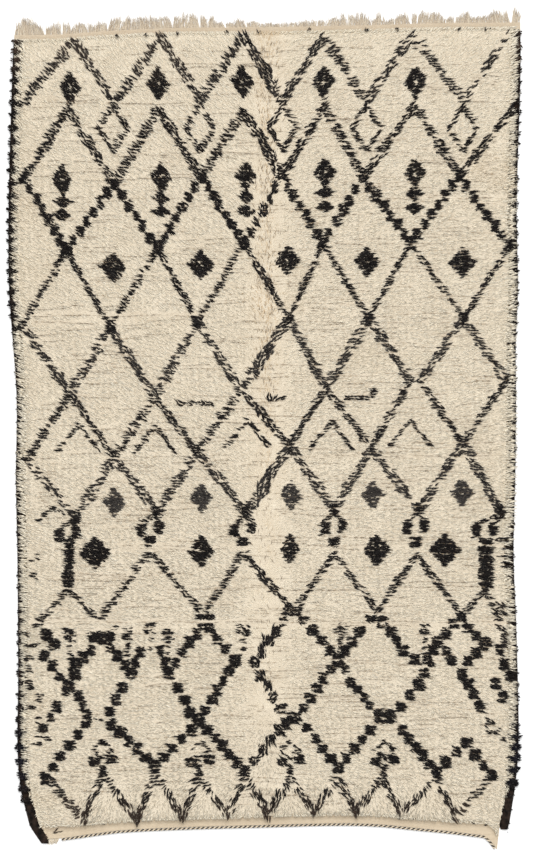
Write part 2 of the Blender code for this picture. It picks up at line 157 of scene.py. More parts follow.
# %% Edges
def edges_of(name):
    """The left, right, foot and head edges of a node's flat underside, each as sorted points."""
    bm = bmesh.new()
    bm.from_mesh(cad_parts[name].data)
    bmesh.ops.remove_doubles(bm, verts=bm.verts, dist=0.01 * MM)
    resting = {face for face in bm.faces if all(vert.co.z < 0.01 * MM for vert in face.verts)}
    rim = [edge for edge in bm.edges if sum(face in resting for face in edge.link_faces) == 1]
    following = {}
    for edge in rim:
        for here, there in (edge.verts, reversed(edge.verts)):
            following.setdefault(here, []).append(there)
    here, before, ring = rim[0].verts[0], None, []
    while not ring or here != rim[0].verts[0]:
        ring.append((here.co.x, here.co.y))
        before, here = here, next(vert for vert in following[here] if vert != before)
    bm.free()
    ring = np.array(ring)
    x, y = ring.T
    if np.sum(x * np.roll(y, -1) - np.roll(x, -1) * y) < 0:
        ring = ring[::-1]
        x, y = ring.T
    foot_left, foot_right, head_right, head_left = (np.argmax(way) for way in (-x - y, x - y, x + y, y - x))

    def stretch(first, last, axis):
        points = ring[np.arange(first, last + 1 + (len(ring) if last < first else 0)) % len(ring)]
        return points[np.argsort(points[:, axis])]

    return {
        "left": stretch(head_left, foot_left, 1),
        "right": stretch(foot_right, head_right, 1),
        "foot": stretch(foot_left, foot_right, 0),
        "head": stretch(head_right, head_left, 0),
    }


cloth = edges_of("pile_field")
side_bands = {side: edges_of(f"{side}_selvedge") for side in ("left", "right")}
CLOTH_LENGTH = 2.76  # of the knotted part
CLOTH_FOOT = -1.37  # the y where it begins
CLOTH_WIDTH = 1.75
PILE_WIDTH = 1.73
HALF_WIDTH = 0.86
FALLING_PILE = -1.20  # below this y the pile falls towards the points of the foot's zigzag
BARE_BAND = -1.31  # below this y the side cords show bare
FOOT_STRIP = 32 * MM  # bare flat weave at the foot, wider towards the corners
CORNER_STRIP = 24 * MM


def across(edge, y):
    """The x of an edge that runs along the rug, at y."""
    return np.interp(y, edge[:, 1], edge[:, 0])


def along(edge, x):
    """The y of an edge that runs across the rug, at x."""
    return np.interp(x, edge[:, 0], edge[:, 1])


def along_share(y):
    """Roughly how far along the cloth a y lies, from 0 at its foot to 1 at its head."""
    return (y - CLOTH_FOOT) / CLOTH_LENGTH


def ramp(value, width):
    """How far a value has come along a width, from 0 to 1."""
    return np.clip(value / width, 0, 1)


def read_off(table, place, column=1):
    """A column of a table at a place, between its rows. The first column holds the rows' places."""
    return np.interp(place, table[:, 0], table[:, column])


def bare_strip(x):
    """How much of the cloth is bare at the foot."""
    return FOOT_STRIP + CORNER_STRIP * np.abs(x / HALF_WIDTH) ** 5


def place_on_cloth(u, v, strip=bare_strip):
    """The x and y of a point u across the cloth and v from its foot strip to its head."""
    x = HALF_WIDTH * (2 * u - 1)
    y = CLOTH_LENGTH * (v - 0.49)
    for _ in range(8):
        x = (1 - u) * across(cloth["left"], y) + u * across(cloth["right"], y)
        y = (1 - v) * (along(cloth["foot"], x) + strip(x)) + v * along(cloth["head"], x)
    return x, y


print("edges of", ", ".join(f"{name} ({len(points)} points)" for name, points in cloth.items()))

# %% Heights
HEIGHT_COLUMNS, HEIGHT_ROWS = 120, 260


def measured_heights():
    """The height of the pile's solid on an even grid of u and v."""
    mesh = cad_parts["pile_field"].data
    mesh.calc_loop_triangles()
    shape = BVHTree.FromPolygons([v.co for v in mesh.vertices], [t.vertices for t in mesh.loop_triangles])
    u, v = np.meshgrid(np.linspace(0.004, 0.996, HEIGHT_COLUMNS), np.linspace(0.006, 0.997, HEIGHT_ROWS))
    x, y = place_on_cloth(u, v)
    heights = np.zeros(u.shape)
    for spot in np.ndindex(u.shape):
        hit = shape.ray_cast((x[spot], y[spot], 0.1), (0, 0, -1))[0]
        heights[spot] = hit.z if hit else 14 * MM
    return heights


pile_heights = measured_heights()


def pile_height(u, v):
    """The height of the pile at u and v, between the measured points."""
    column = np.clip(u, 0, 1) * (HEIGHT_COLUMNS - 1)
    row = np.clip(v, 0, 1) * (HEIGHT_ROWS - 1)
    c = np.minimum(column.astype(int), HEIGHT_COLUMNS - 2)
    r = np.minimum(row.astype(int), HEIGHT_ROWS - 2)
    s, t = column - c, row - r
    low = (1 - s) * pile_heights[r, c] + s * pile_heights[r, c + 1]
    high = (1 - s) * pile_heights[r + 1, c] + s * pile_heights[r + 1, c + 1]
    return (1 - t) * low + t * high


print("pile height in mm:", round(pile_heights.min() / MM, 1), "to", round(pile_heights.max() / MM, 1))

# %% [markdown]
# ## Camera, floor and light
#
# The rug is seen from straight above, its fringed head away from the viewer. A long lens from high up keeps
# the edges straight. One broad lamp towards the head gives each tuft a light side and a shaded one, and a
# bright surround fills the rest, as in a studio.

# %% Camera, floor and lights
VIEW_HEIGHT = 858
PIXEL = 3.5 * MM  # what one pixel of the view covers on the rug
CAMERA_HEIGHT = 9.0
SENSOR = 24.0
FLOOR_HALF = 7.0
FLOOR_DROP = -0.2 * MM
scene = bpy.context.scene


def add_object(name, data):
    """A new object in the scene, at the origin."""
    item = bpy.data.objects.new(name, data)
    scene.collection.objects.link(item)
    return item


camera = add_object("camera", bpy.data.cameras.new("camera"))
camera.data.sensor_fit = "VERTICAL"
camera.data.sensor_height = SENSOR
camera.data.lens = SENSOR * CAMERA_HEIGHT / (VIEW_HEIGHT * PIXEL)
camera.location = (0.0053, 0.0035, CAMERA_HEIGHT + 0.015)
scene.camera = camera

floor_mesh = bpy.data.meshes.new("floor")
corners = [(x * FLOOR_HALF, y * FLOOR_HALF, FLOOR_DROP) for x, y in ((-1, -1), (1, -1), (1, 1), (-1, 1))]
floor_mesh.from_pydata(corners, [], [(0, 1, 2, 3)])
add_object("floor", floor_mesh)
floor_paint = bpy.data.materials.new("white floor")
floor_paint.use_nodes = True
floor_shader = floor_paint.node_tree.nodes["Principled BSDF"]
floor_shader.inputs["Base Color"].default_value = (0.95, 0.95, 0.95, 1)
floor_shader.inputs["Roughness"].default_value = 0.9
floor_mesh.materials.append(floor_paint)


def lamp(name, power, spread, spot):
    """A distant soft lamp that shines from a spot towards the rug."""
    light = bpy.data.lights.new(name, "SUN")
    light.energy = power
    light.angle = math.radians(spread)
    item = add_object(name, light)
    item.location = spot
    x, y, z = spot
    item.rotation_euler = (math.acos(z / math.hypot(x, y, z)), 0, math.atan2(y, x) + math.pi / 2)


lamp("key", 2.2, 40, (0.3, 4.4, 4.6))
lamp("fill", 0.5, 60, (2.5, -3.0, 5.5))
world = bpy.data.worlds.new("studio")
scene.world = world
world.use_nodes = True
world.node_tree.nodes["Background"].inputs["Color"].default_value = (1.0, 1.0, 1.0, 1)
world.node_tree.nodes["Background"].inputs["Strength"].default_value = 0.68
scene.view_settings.view_transform = "Standard"
print("lens", round(camera.data.lens, 1), "mm")

# %% [markdown]
# ## The chart
#
# A weaver carries the pattern in mind as a lattice: rows of crossings, joined by slanting lines that step
# over a knot or two in every row, with a small lozenge in each mesh. The chart below says the same. Each row
# gives the crossings' places in millimetres from the middle of the rug, and the lines between two rows have
# one manner. Lines are then drawn by rule, and the unevenness of handwork comes from a seeded draw. All the
# chart's places were read off enlarged crops of the photo, under a grid of lines.


# %% Crossings and the lines between them
class Line(NamedTuple):
    """A manner of line: its half width, its share of dark wool, how faded it is and its blocks' height."""

    half: float
    cover: float
    fade: float = 0.0
    block: float = 0.0


BROKEN = Line(15, 0.81, 0.06)
BOLD = Line(14, 0.84)
THIN = Line(9, 0.92)
WORN = Line(14, 0.80, 0.10)
PLAIN = Line(11, 0.90, 0.03)
STEPPED = Line(20, 0.97, 0.0, 18)
BLOCKS = Line(23, 0.99, 0.0, 16.5)
SMALL_BLOCKS = Line(20, 0.98, 0.0, 16)
SPARSE = Line(12, 0.60, 0.08)
FAINT = Line(6, 0.85)
FINE = Line(10, 0.88, 0.02)
SLIM = Line(8, 0.90)
STREAKY = Line(12, 0.80, 0.03)

# Rows of crossings from the head down, each the (x, y) of its points.
CROSSINGS = {
    "peaks": [(-668, 1364), (-368, 1378), (-77, 1380), (206, 1376), (514, 1383), (850, 1388)],
    "first": [(-850, 1144), (-525, 1144), (-224, 1155), (60, 1151), (354, 1151), (696, 1151)],
    "tents": [(-690, 1124), (-374, 1124), (-77, 1120), (206, 1134), (522, 1138), (872, 1130)],
    "second": [(-844, 878), (-528, 861), (-224, 886), (60, 889), (346, 882), (682, 889)],
    "third": [(-696, 630), (-374, 637), (-74, 654), (203, 654), (511, 654), (854, 644)],
    "fourth": [(-850, 364), (-542, 360), (-238, 378), (84, 392), (364, 392), (696, 392)],
    "middle": [(-682, 130), (-385, 116), (-84, 140), (214, 147), (527, 172), (844, 175)],
    "fifth": [(-833, -105), (-528, -94), (-238, -77), (88, -56), (371, -63), (693, -46)],
    "sixth": [(-662, -304), (-378, -287), (-66, -287), (242, -280), (539, -280), (826, -290)],
    "stacks": [(-690, -560), (-402, -425), (-77, -430), (242, -435), (528, -435), (770, -560)],
    "seventh": [(-800, -683), (-578, -665), (-214, -648), (102, -637), (396, -634), (690, -648), (822, -665)],
}
APART = {("middle", 4): 17}  # a crossing whose two sides don't meet, and the gap's half width

# Lines between two rows: (upper row, lower row, which lower crossing each upper one joins, manner).
LEFTWARD = [(k, k) for k in range(6)]
RIGHTWARD = [(k, k + 1) for k in range(5)]
OUTWARD = LEFTWARD + [(k + 1, k) for k in range(5)]
LATTICE = [
    ("peaks", "first", LEFTWARD[:5] + RIGHTWARD, BROKEN),
    ("peaks", "first", LEFTWARD[5:], SPARSE),
    ("tents", "second", LEFTWARD + RIGHTWARD, BOLD),
    ("second", "third", OUTWARD, STEPPED),
    ("third", "fourth", LEFTWARD + RIGHTWARD, THIN),
    ("fourth", "middle", OUTWARD, WORN),
    ("middle", "fifth", LEFTWARD + RIGHTWARD, PLAIN),
    ("fifth", "sixth", OUTWARD, WORN),
    ("stacks", "seventh", LEFTWARD + RIGHTWARD + [(5, 6)], FINE),
]
print(sum(len(joins) for _, _, joins, _ in LATTICE), "lattice lines")

# %% [markdown]
# The lower third is knotted by a bolder hand: blocks of six or so knots, set corner to corner. Its crossings
# are fewer and its meshes larger, and small open lozenges with a stem hang under them.

# %% Lower field
BLOCK_CHAINS = [
    [(-763, -714), (-738, -749), (-774, -788), (-690, -896)],
    [(-567, -735), (-612, -770), (-665, -816), (-665, -854), (-690, -896)],
    [(-469, -850), (-500, -903), (-546, -987)],
    [(-200, -690), (-106, -803)],
    [(-108, -808), (-228, -1015)],
    [(-340, -850), (-304, -900), (-259, -990), (-228, -1015)],
    [(63, -672), (10, -738), (-34, -812)],
    [(-34, -816), (-14, -861), (56, -973), (102, -1008)],
    [(136, -668), (256, -805)],
    [(256, -805), (182, -903), (108, -1008)],
    [(374, -665), (332, -707), (256, -805)],
    [(413, -672), (486, -770), (525, -805)],
    [(690, -658), (665, -679), (606, -742), (567, -798), (578, -812), (536, -889), (476, -966)],
    [(612, -742), (654, -805), (693, -854)],
    [(690, -658), (710, -693), (774, -742), (822, -770), (840, -819), (861, -861)],
    [(766, -752), (714, -805), (693, -854)],
    [(693, -854), (732, -925), (752, -966)],
    [(808, -885), (836, -934)],
    [(-626, -1029), (-658, -1067), (-770, -1218)],
    [(-539, -1029), (-385, -1176)],
    [(-228, -1018), (-385, -1176)],
    [(-228, -1018), (-70, -1194)],
    [(102, -1008), (52, -1050), (-70, -1194)],
    [(150, -1043), (256, -1183)],
    [(368, -1050), (256, -1183)],
    [(480, -1050), (602, -1197)],
    [(602, -1197), (634, -1162), (707, -1096)],
    [(707, -1096), (738, -1137), (794, -1207)],
]
SMALL_CHAINS = [
    [(262, -798), (304, -882), (368, -966)],
    [(-440, -778), (-469, -850)],
    [(-366, -774), (-340, -850)],
    [(-238, -714), (-266, -742), (-340, -850)],
    [(-567, -735), (-469, -850)],
    [(-690, -896), (-654, -931), (-623, -994)],
    [(-696, -917), (-728, -966), (-777, -1043)],
]
WORN_CHAINS = [[(815, -595), (840, -640), (812, -668), (836, -714), (840, -752)]]
FOOT_ZIGZAG = [
    (-760, -1218), (-635, -1365), (-567, -1207), (-448, -1365), (-385, -1207), (-287, -1358),
    (-235, -1214), (-130, -1347), (-70, -1214), (10, -1347), (91, -1214), (168, -1337), (256, -1218),
    (319, -1337), (413, -1214), (473, -1340), (606, -1225), (669, -1358), (792, -1210),
]
print(len(BLOCK_CHAINS), "chains of blocks")

# %% [markdown]
# The small motifs are lozenges, filled or open, little roofs, bars and combs. Each kind is one row of
# middles, and a few single bars have a table of their own.


# %% Motifs
class Lozenge(NamedTuple):
    """A lozenge: middle, half width, half height, open share of its inside, and how dark and faded it is."""

    x: float
    y: float
    wide: float
    tall: float
    open: float = 0.0
    cover: float = 0.95
    fade: float = 0.0


class Bar(NamedTuple):
    """An upright block of knots: middle, half width, half height, and how dark and faded it is."""

    x: float
    y: float
    wide: float
    tall: float
    cover: float = 0.9
    fade: float = 0.0


FIRST_LOZENGES = [(-682, 1197), (-374, 1211), (-80, 1218), (206, 1218), (528, 1218)]
OPEN_LOZENGES = [(-532, 1060), (-228, 1060), (63, 1064), (354, 1060), (693, 1060)]
TOTEMS = [(-710, 875), (-364, 886), (-66, 889), (210, 903), (525, 900)]
SECOND_LOZENGES = [(-532, 570), (-224, 578), (77, 595), (357, 588), (693, 588)]
ROOFS = [(-651, 21), (-382, 14), (-60, 35), (234, 28), (511, 35)]
PALE_LOZENGES = [(-528, -252), (-224, -238), (91, -228), (378, -228), (690, -217)]
BLACK_LOZENGES = [(-595, -430, 62), (-224, -424, 52), (88, -416, 40), (392, -420, 54), (630, -420, 64)]
HANGING_LOZENGES = [(-567, -1120), (-228, -1120), (91, -1120), (420, -1120)]
COMBS = [(-682, -718), (-483, -714), (-402, -690), (-340, -714), (-74, -700), (263, -690), (560, -700)]

lozenges, bars, strokes = [], [], []


def outline(x, y, wide, tall, manner):
    """An open lozenge, drawn by its four thin sides."""
    for side in (-1, 1):
        strokes.append((x, y + tall, x + side * wide, y, manner))
        strokes.append((x + side * wide, y, x, y - tall, manner))


for x, y in FIRST_LOZENGES:
    lozenges.append(Lozenge(x, y, 46, 62, 0.24))
for x, y in OPEN_LOZENGES:
    outline(x, y - 4, 50, 78, SLIM)
for x, y in TOTEMS:
    lozenges.append(Lozenge(x, y, 44, 56, 0.16, 0.96))
    lozenges.append(Lozenge(x, y - 73, 40, 27))
    lozenges.append(Lozenge(x, y - 122, 42, 24))
for x, y in SECOND_LOZENGES:
    lozenges.append(Lozenge(x, y, 54, 56, 0.10, 0.96))
for x, y in ROOFS:
    strokes.append((x, y, x - 76, y - 92, FAINT))
    strokes.append((x, y, x + 70, y - 92, FAINT))
for x, y in PALE_LOZENGES:
    lozenges.append(Lozenge(x, y, 46, 54, 0.0, 0.95, 0.17))
for x, y, wide in BLACK_LOZENGES:
    lozenges.append(Lozenge(x, y, wide, 60, 0.0, 0.99))
for x, y in HANGING_LOZENGES:
    outline(x, y, 31, 32, FAINT)
    bars += [Bar(x - 31, y - 41, 24, 16, 0.97), Bar(x + 31, y - 32, 25, 15, 0.97)]
    bars.append(Bar(x - 3, y - 70, 17, 20, 0.95))
for x, y in COMBS:
    bars.append(Bar(x, y, 27, 21, 0.90))
    bars.append(Bar(x, y - 56, 14, 34, 0.84))
bars += [
    Bar(-245, 95, 84, 8, 0.92), Bar(42, 112, 48, 8, 0.85), Bar(335, 115, 60, 9, 0.93),
    Bar(380, 133, 18, 10, 0.95), Bar(-690, -712, 24, 16, 0.96), Bar(-575, -722, 52, 19, 0.98),
    Bar(-500, -694, 36, 6), Bar(102, -1008, 32, 15, 0.97), Bar(420, -1001, 44, 25, 0.98),
    Bar(-585, -1014, 22, 4),
    Bar(-212, -654, 40, 9, 0.97), Bar(-206, -690, 36, 10, 0.97), Bar(98, -636, 40, 13, 0.97),
    Bar(-578, -665, 26, 7, 0.85, 0.15), Bar(835, -383, 36, 7, 0.9, 0.03), Bar(845, -412, 30, 5, 0.85, 0.05),
    Bar(840, -440, 32, 7, 0.85), Bar(850, -470, 24, 12, 0.8), Bar(-228, -1015, 20, 22, 0.97),
    Bar(-385, -1180, 18, 24, 0.97), Bar(-70, -1196, 20, 22, 0.97), Bar(606, -1197, 20, 24, 0.95),
    Bar(707, -1094, 28, 15, 0.97), Bar(256, -808, 26, 22, 0.95), Bar(-469, -856, 16, 18, 0.95),
    Bar(690, -862, 16, 22, 0.95), Bar(-830, -712, 14, 9, 0.88), Bar(-815, -752, 28, 7, 0.88),
    Bar(-825, -798, 22, 9, 0.85), Bar(-825, -838, 16, 12, 0.85), Bar(-822, -892, 20, 18, 0.93),
    Bar(-790, -938, 17, 16, 0.92), Bar(-820, -972, 20, 12, 0.92), Bar(-794, -1010, 17, 14),
    Bar(-770, -1080, 34, 7, 0.85), Bar(-800, -1100, 26, 7, 0.8), Bar(785, -1024, 20, 8, 0.92),
    Bar(800, -1058, 30, 7), Bar(832, -1082, 18, 7, 0.88), Bar(-812, -440, 22, 18, 0.78),
    Bar(-812, -508, 20, 14, 0.78), Bar(781, -1036, 14, 8, 0.8), Bar(820, -1050, 12, 8, 0.75),
    Bar(-528, 861, 22, 20, 0.95), Bar(346, 882, 20, 16),
]
print(len(lozenges), "lozenges,", len(bars), "bars")

# %% [markdown]
# ## From chart to knots
#
# The chart is drawn as simple shapes, and a knot is dark where a shape covers it. A block line is a
# staircase of bars. Each line's ends are moved a little and its width breathes, as knots counted by eye do.

# %% Drawing the lines
BLOCK_STEP = 42  # along a line of blocks, from one to the next, in mm


def draw_line(start, end, manner):
    """A plain line as a stroke, or a staircase of blocks."""
    (x0, y0), (x1, y1) = start, end
    if not manner.block:
        strokes.append((x0, y0, x1, y1, manner))
        return
    count = max(1, round(math.hypot(x1 - x0, y1 - y0) / BLOCK_STEP))
    for k in range(count + 1):
        x = x0 + (x1 - x0) * (k / count) + chance.uniform(-3, 3)
        y = y0 + (y1 - y0) * (k / count) + chance.uniform(-2, 2)
        wide = manner.half * chance.uniform(0.85, 1.15)
        tall = manner.block * chance.uniform(0.85, 1.25)
        bars.append(Bar(x, y, wide, tall, manner.cover, manner.fade))


def draw_chain(chain, manner):
    """Lines from point to point."""
    for start, end in zip(chain, chain[1:]):
        draw_line(start, end, manner)


for upper, lower, joins, manner in LATTICE:
    for here, there in joins:
        (x0, y0), (x1, y1) = CROSSINGS[upper][here], CROSSINGS[lower][there]
        way = 1 if x1 > x0 else -1
        x0, x1 = x0 + way * APART.get((upper, here), 0), x1 - way * APART.get((lower, there), 0)
        draw_line((x0, y0), (x1, y1), manner)
for manner, chains in ((BLOCKS, BLOCK_CHAINS), (SMALL_BLOCKS, SMALL_CHAINS), (FINE, WORN_CHAINS)):
    for chain in chains:
        draw_chain(chain, manner)
draw_chain(FOOT_ZIGZAG, STREAKY)
for (x, y), (low_x, low_y) in zip(CROSSINGS["sixth"], CROSSINGS["stacks"]):
    bars += [Bar(x, y, 21, 22, 0.94), Bar(low_x, min(-388, low_y + 42), 26, 18, 0.97)]
    for side in (-1, 1):
        bars.append(Bar(low_x + 30 * side, y - 60 + 5 * side, 22, 21, 0.97))
        strokes.append((x, y - 6, low_x + 30 * side, y - 40, SLIM))
bars += [Bar(-686, -470, 23, 90, 0.97), Bar(774, -470, 30, 90, 0.97)]
draw_chain([(-760, -1218), (-640, -1360)], FINE)
draw_chain([(752, -975), (800, -1022)], FAINT)
draw_chain([(-795, -315), (-745, -270), (-710, -287)], FAINT)
bars += [Bar(x, y + 4, 25, 22, 0.96) for x, y in CROSSINGS["third"][:-1]]
bars += [Bar(x, y, 22, 18, 0.95) for x, y in CROSSINGS["second"][1:] + CROSSINGS["fourth"][1:]]
print(len(strokes), "strokes,", len(bars), "bars,", len(lozenges), "lozenges")


# %% Dark share at a place
def wobble(x, y, size, phase):
    """A smooth wander of about -1 to 1 over the rug, for uneven edges."""
    a = np.sin(x / size * 5.1 + phase) * np.sin(y / size * 6.3 + 1.7 * phase)
    b = np.sin(x / size * 11.7 - 2.1 * phase) * np.sin(y / size * 9.2 + 0.6 * phase)
    return 0.6 * a + 0.6 * b


OVERSHOOT = 9  # a dark lock reaches this much past its own place on both sides
FOLD_X = 6 * MM  # where the rug was folded along its middle


def near_fold(x, width):
    """How near the fold each place is, from 0 to 1."""
    return np.exp(-(((x - FOLD_X) / width) ** 2))


def pattern(x, y):
    """How likely each place is to hold a dark knot, how faded its wool is, and which way its line slants."""
    cover, fade, slant = np.zeros((3, len(x)))
    px, py = x / MM, y / MM
    order = np.argsort(py)
    sorted_y = py[order]

    def near(middle, reach):
        return order[slice(*np.searchsorted(sorted_y, (middle - reach, middle + reach)))]

    def lay(part, inside, share, faded, way=0):
        spots = part[inside & (share > cover[part])]
        cover[spots] = share
        fade[spots] = faded
        slant[spots] = way

    for x0, y0, x1, y1, manner in strokes:
        part = near((y0 + y1) / 2, abs(y1 - y0) / 2 + 20)
        dx, dy = x1 - x0, y1 - y0
        t = ramp((px[part] - x0) * dx + (py[part] - y0) * dy, dx * dx + dy * dy)
        apart = np.hypot(px[part] - x0 - t * dx, py[part] - y0 - t * dy)
        half = manner.half * (1 + 0.3 * np.sin(t * 17 + x0) * np.sin(t * 7 + y0))
        half *= 1 + 0.4 * near_fold(x[part], 40 * MM)
        lay(part, apart < half, manner.cover, manner.fade, np.sign(dx * dy))
    for x0, y0, wide, tall, share, faded in bars:
        wide = max(wide - OVERSHOOT, 5.5)
        part = near(y0, tall + 4)
        edge = 1 + 0.14 * wobble(px[part], py[part], 60, x0)
        lay(part, (np.abs(px[part] - x0) < wide * edge) & (np.abs(py[part] - y0) < tall * edge), share, faded)
    for x0, y0, wide, tall, hollow, share, faded in lozenges:
        wide, tall = wide - OVERSHOOT, tall - 0.3 * OVERSHOOT
        part = near(y0, tall + 6)
        reach = np.abs(px[part] - x0) / wide + np.abs(py[part] - y0) / tall
        reach += 0.10 * wobble(px[part], py[part], 50, y0)
        lay(part, (reach < 1) & (reach >= hollow), share, faded)
    return cover, fade, slant


# %% [markdown]
# ## How the pile lies
#
# Long pile never stands straight. On this rug it parts at the old fold down the middle and lies outwards
# from it, it fans up at the head and down at the foot, and here and there a row parts and shows a dark line.
# The lie of each knot is worked out from that rule, with a draw of its own so that no two are alike.


# %% The lie of the pile
# How far the pile leans along the rug, for one step outwards: y, left of the fold, right of it.
LIES = np.array([
    (-1.40, 0.10, -0.30), (-1.10, 0.12, -0.25), (-0.70, 0.15, -0.12), (-0.30, 0.28, 0.00), (0.00, 0.42, 0.02),
    (0.70, 0.46, 0.08), (1.05, 0.56, 0.18), (1.25, 0.75, 0.35), (1.42, 1.50, 0.70),
])
LINE_PULL_LEFT, LINE_PULL_RIGHT = 0.15, 0.30  # how far a line of the chart turns its own knots
FOOT_POINTS = np.array([x * MM for x, y in FOOT_ZIGZAG if y < -1300])  # the foot's pile falls towards these


class Parting(NamedTuple):
    """A row where the pile parts: its place, its two ends and how wide it opens."""

    y: float
    start: float
    end: float
    width: float


PARTINGS = [
    Parting(1.01, 0.78, 0.87, 0.007), Parting(0.812, 0.50, 0.88, 0.007), Parting(0.79, 0.70, 0.87, 0.006),
    Parting(0.4, -0.84, -0.2, 0.006), Parting(-0.092, 0.05, 0.8, 0.006), Parting(-0.404, -0.51, -0.3, 0.006),
    Parting(-0.404, 0.14, 0.33, 0.006), Parting(-0.404, 0.71, 0.86, 0.006),
    Parting(-0.52, -0.74, -0.44, 0.006), Parting(-0.672, -0.86, 0.86, 0.007),
]
HAIRLINES = 1150  # short ones, hardly open
PARTING_END = 20 * MM  # over this length a parting closes at its ends
for _ in range(HAIRLINES):
    start = chance.uniform(-0.86, 0.82)
    y, end = chance.uniform(-1.31, 1.37), start + chance.uniform(0.03, 0.16)
    PARTINGS.append(Parting(y, start, end, chance.uniform(0.0015, 0.004)))


def parting_line(row, x):
    """The slightly wavering course of a parting."""
    return row.y + 0.003 * np.sin(x * 23 + row.start * 40) + 0.0012 * np.sin(x * 90 + row.start * 70)


def lie_of(x, y, slant=0.0):
    """The step in which the pile lies at each place, how near a parting it is and how strongly it leans."""
    out = np.tanh((x - FOLD_X) / 0.07)
    leftward = x < FOLD_X
    up = np.where(leftward, read_off(LIES, y, 1), read_off(LIES, y, 2)) * np.abs(out)
    up = up + slant * np.where(leftward, -LINE_PULL_LEFT, LINE_PULL_RIGHT)
    fold = near_fold(x, 34 * MM)
    out = out + 0.9 * fold * slant
    up = up + fold * 0.8 * np.tanh((y + 0.99) / 0.04)
    cracked = np.zeros(len(x))
    order = np.argsort(y)
    sorted_y = y[order]
    for row in PARTINGS:
        reach = 0.005 + 3 * row.width
        part = order[slice(*np.searchsorted(sorted_y, (row.y - reach, row.y + reach)))]
        ends = ramp(x[part] - row.start, PARTING_END) * ramp(row.end - x[part], PARTING_END)
        off = y[part] - parting_line(row, x[part])
        close = np.exp(-((off / row.width) ** 2)) * ends
        up[part] += 0.4 * close * np.sign(off)
        cracked[part] = np.maximum(cracked[part], close)
    foot = 0.85 * ramp(FALLING_PILE - y, 0.10)
    inside = np.minimum(x - FOOT_POINTS[0], FOOT_POINTS[-1] - x)
    foot *= ramp(inside + 0.05, 0.06)
    swing = np.interp(x, FOOT_POINTS, np.arange(len(FOOT_POINTS)))
    out = out * (1 - foot) - 0.7 * np.sin(2 * math.pi * swing) * foot
    up = up * (1 - foot) - foot
    size = np.hypot(out, up) + 1e-9
    return out / size, up / size, cracked, np.clip(size, 0.3, 1)


def turned_by(x, y, angle):
    """A step turned by an angle."""
    return x * np.cos(angle) - y * np.sin(angle), x * np.sin(angle) + y * np.cos(angle)


print(len(PARTINGS), "partings")

# %% [markdown]
# ## A tuft, and a tree that plants it
#
# A tuft is a three-sided blade, pointed at its root and its tip, that is widest and highest at its shoulder.
# It has four triangles, because the rug holds far over a hundred thousand. Geometry Nodes plants one on every
# knot, turned to the way the wool lies. The knots carry the length, girth and colour of their own wool.


# %% Parts of a planting tree
def new_tree(name, **sizes):
    """An empty Geometry Nodes tree with a geometry, a material and some sizes for inputs."""
    tree = bpy.data.node_groups.new(name, "GeometryNodeTree")
    tree.is_modifier = True
    tree.interface.new_socket("Geometry", in_out="INPUT", socket_type="NodeSocketGeometry")
    tree.interface.new_socket("Wool", in_out="INPUT", socket_type="NodeSocketMaterial")
    for label, value in sizes.items():
        kind = "NodeSocketInt" if isinstance(value, int) else "NodeSocketFloat"
        tree.interface.new_socket(label, in_out="INPUT", socket_type=kind).default_value = value
    tree.interface.new_socket("Geometry", in_out="OUTPUT", socket_type="NodeSocketGeometry")
    return tree, node(tree, "NodeGroupInput", output="Geometry")


def finish_tree(tree, geometry, given):
    """Realize what was planted, shade it smooth, give it its wool and end the tree."""
    whole = node(tree, "GeometryNodeRealizeInstances", {"Geometry": geometry})
    smooth = node(tree, "GeometryNodeSetShadeSmooth", {"Geometry": whole})
    dyed = node(tree, "GeometryNodeSetMaterial", {"Geometry": smooth, "Material": given.output("Wool")})
    end = tree.nodes.new("NodeGroupOutput")
    tree.links.new(dyed.socket, end.inputs["Geometry"])
    return tree


def carried(tree, name, kind="FLOAT"):
    """An attribute that the knots carry."""
    return node(tree, "GeometryNodeInputNamedAttribute", {"Name": name}, "Attribute", data_type=kind)


def marked(tree, shape, name, value, kind="FLOAT"):
    """A shape whose points keep a value under a name."""
    inputs = {"Geometry": shape, "Name": name, "Value": value}
    return node(tree, "GeometryNodeStoreNamedAttribute", inputs, data_type=kind, domain="POINT")


def turned_along(tree, way, axis, **more):
    """A rotation that brings an axis round to a way."""
    rotation = {"Vector": way, **more}
    pivot = {"pivot_axis": "X"} if more else {}
    return node(tree, "FunctionNodeAlignRotationToVector", rotation, axis=axis, **pivot)


def planted(tree, points, tuft, rotation):
    """A tuft on every point, as long and as thick as the point says."""
    girth = carried(tree, "girth")
    size = vector(tree, carried(tree, "length"), girth, girth)
    inputs = {"Points": points, "Instance": tuft, "Rotation": rotation, "Scale": size}
    return node(tree, "GeometryNodeInstanceOnPoints", inputs)


def blade(tree, shoulder, arch):
    """A tuft one unit long and two wide: pointed at root and tip, widest and highest at its shoulder."""
    sizes = {"Vertices": 3, "Side Segments": 1, "Fill Segments": 1, "Depth": 1.0}
    radii = {"Radius Top": 0.0, "Radius Bottom": 1.0}
    cone = node(tree, "GeometryNodeMeshCone", {**sizes, **radii}, "Mesh", fill_type="NGON")
    x, y, z = parts(node(tree, "GeometryNodeInputPosition"))
    run = (1 - x) * (shoulder * (2 / 3)) + z * (1 - shoulder * (2 / 3))
    rise = ((1 - x) - z) * (arch * (2 / 3))
    moved = vector(tree, run, y * (2 / math.sqrt(3)), rise)
    shaped = node(tree, "GeometryNodeSetPosition", {"Geometry": cone, "Position": moved})
    return marked(tree, shaped, "fibre", node(tree, "GeometryNodeInputPosition"), "FLOAT_VECTOR")


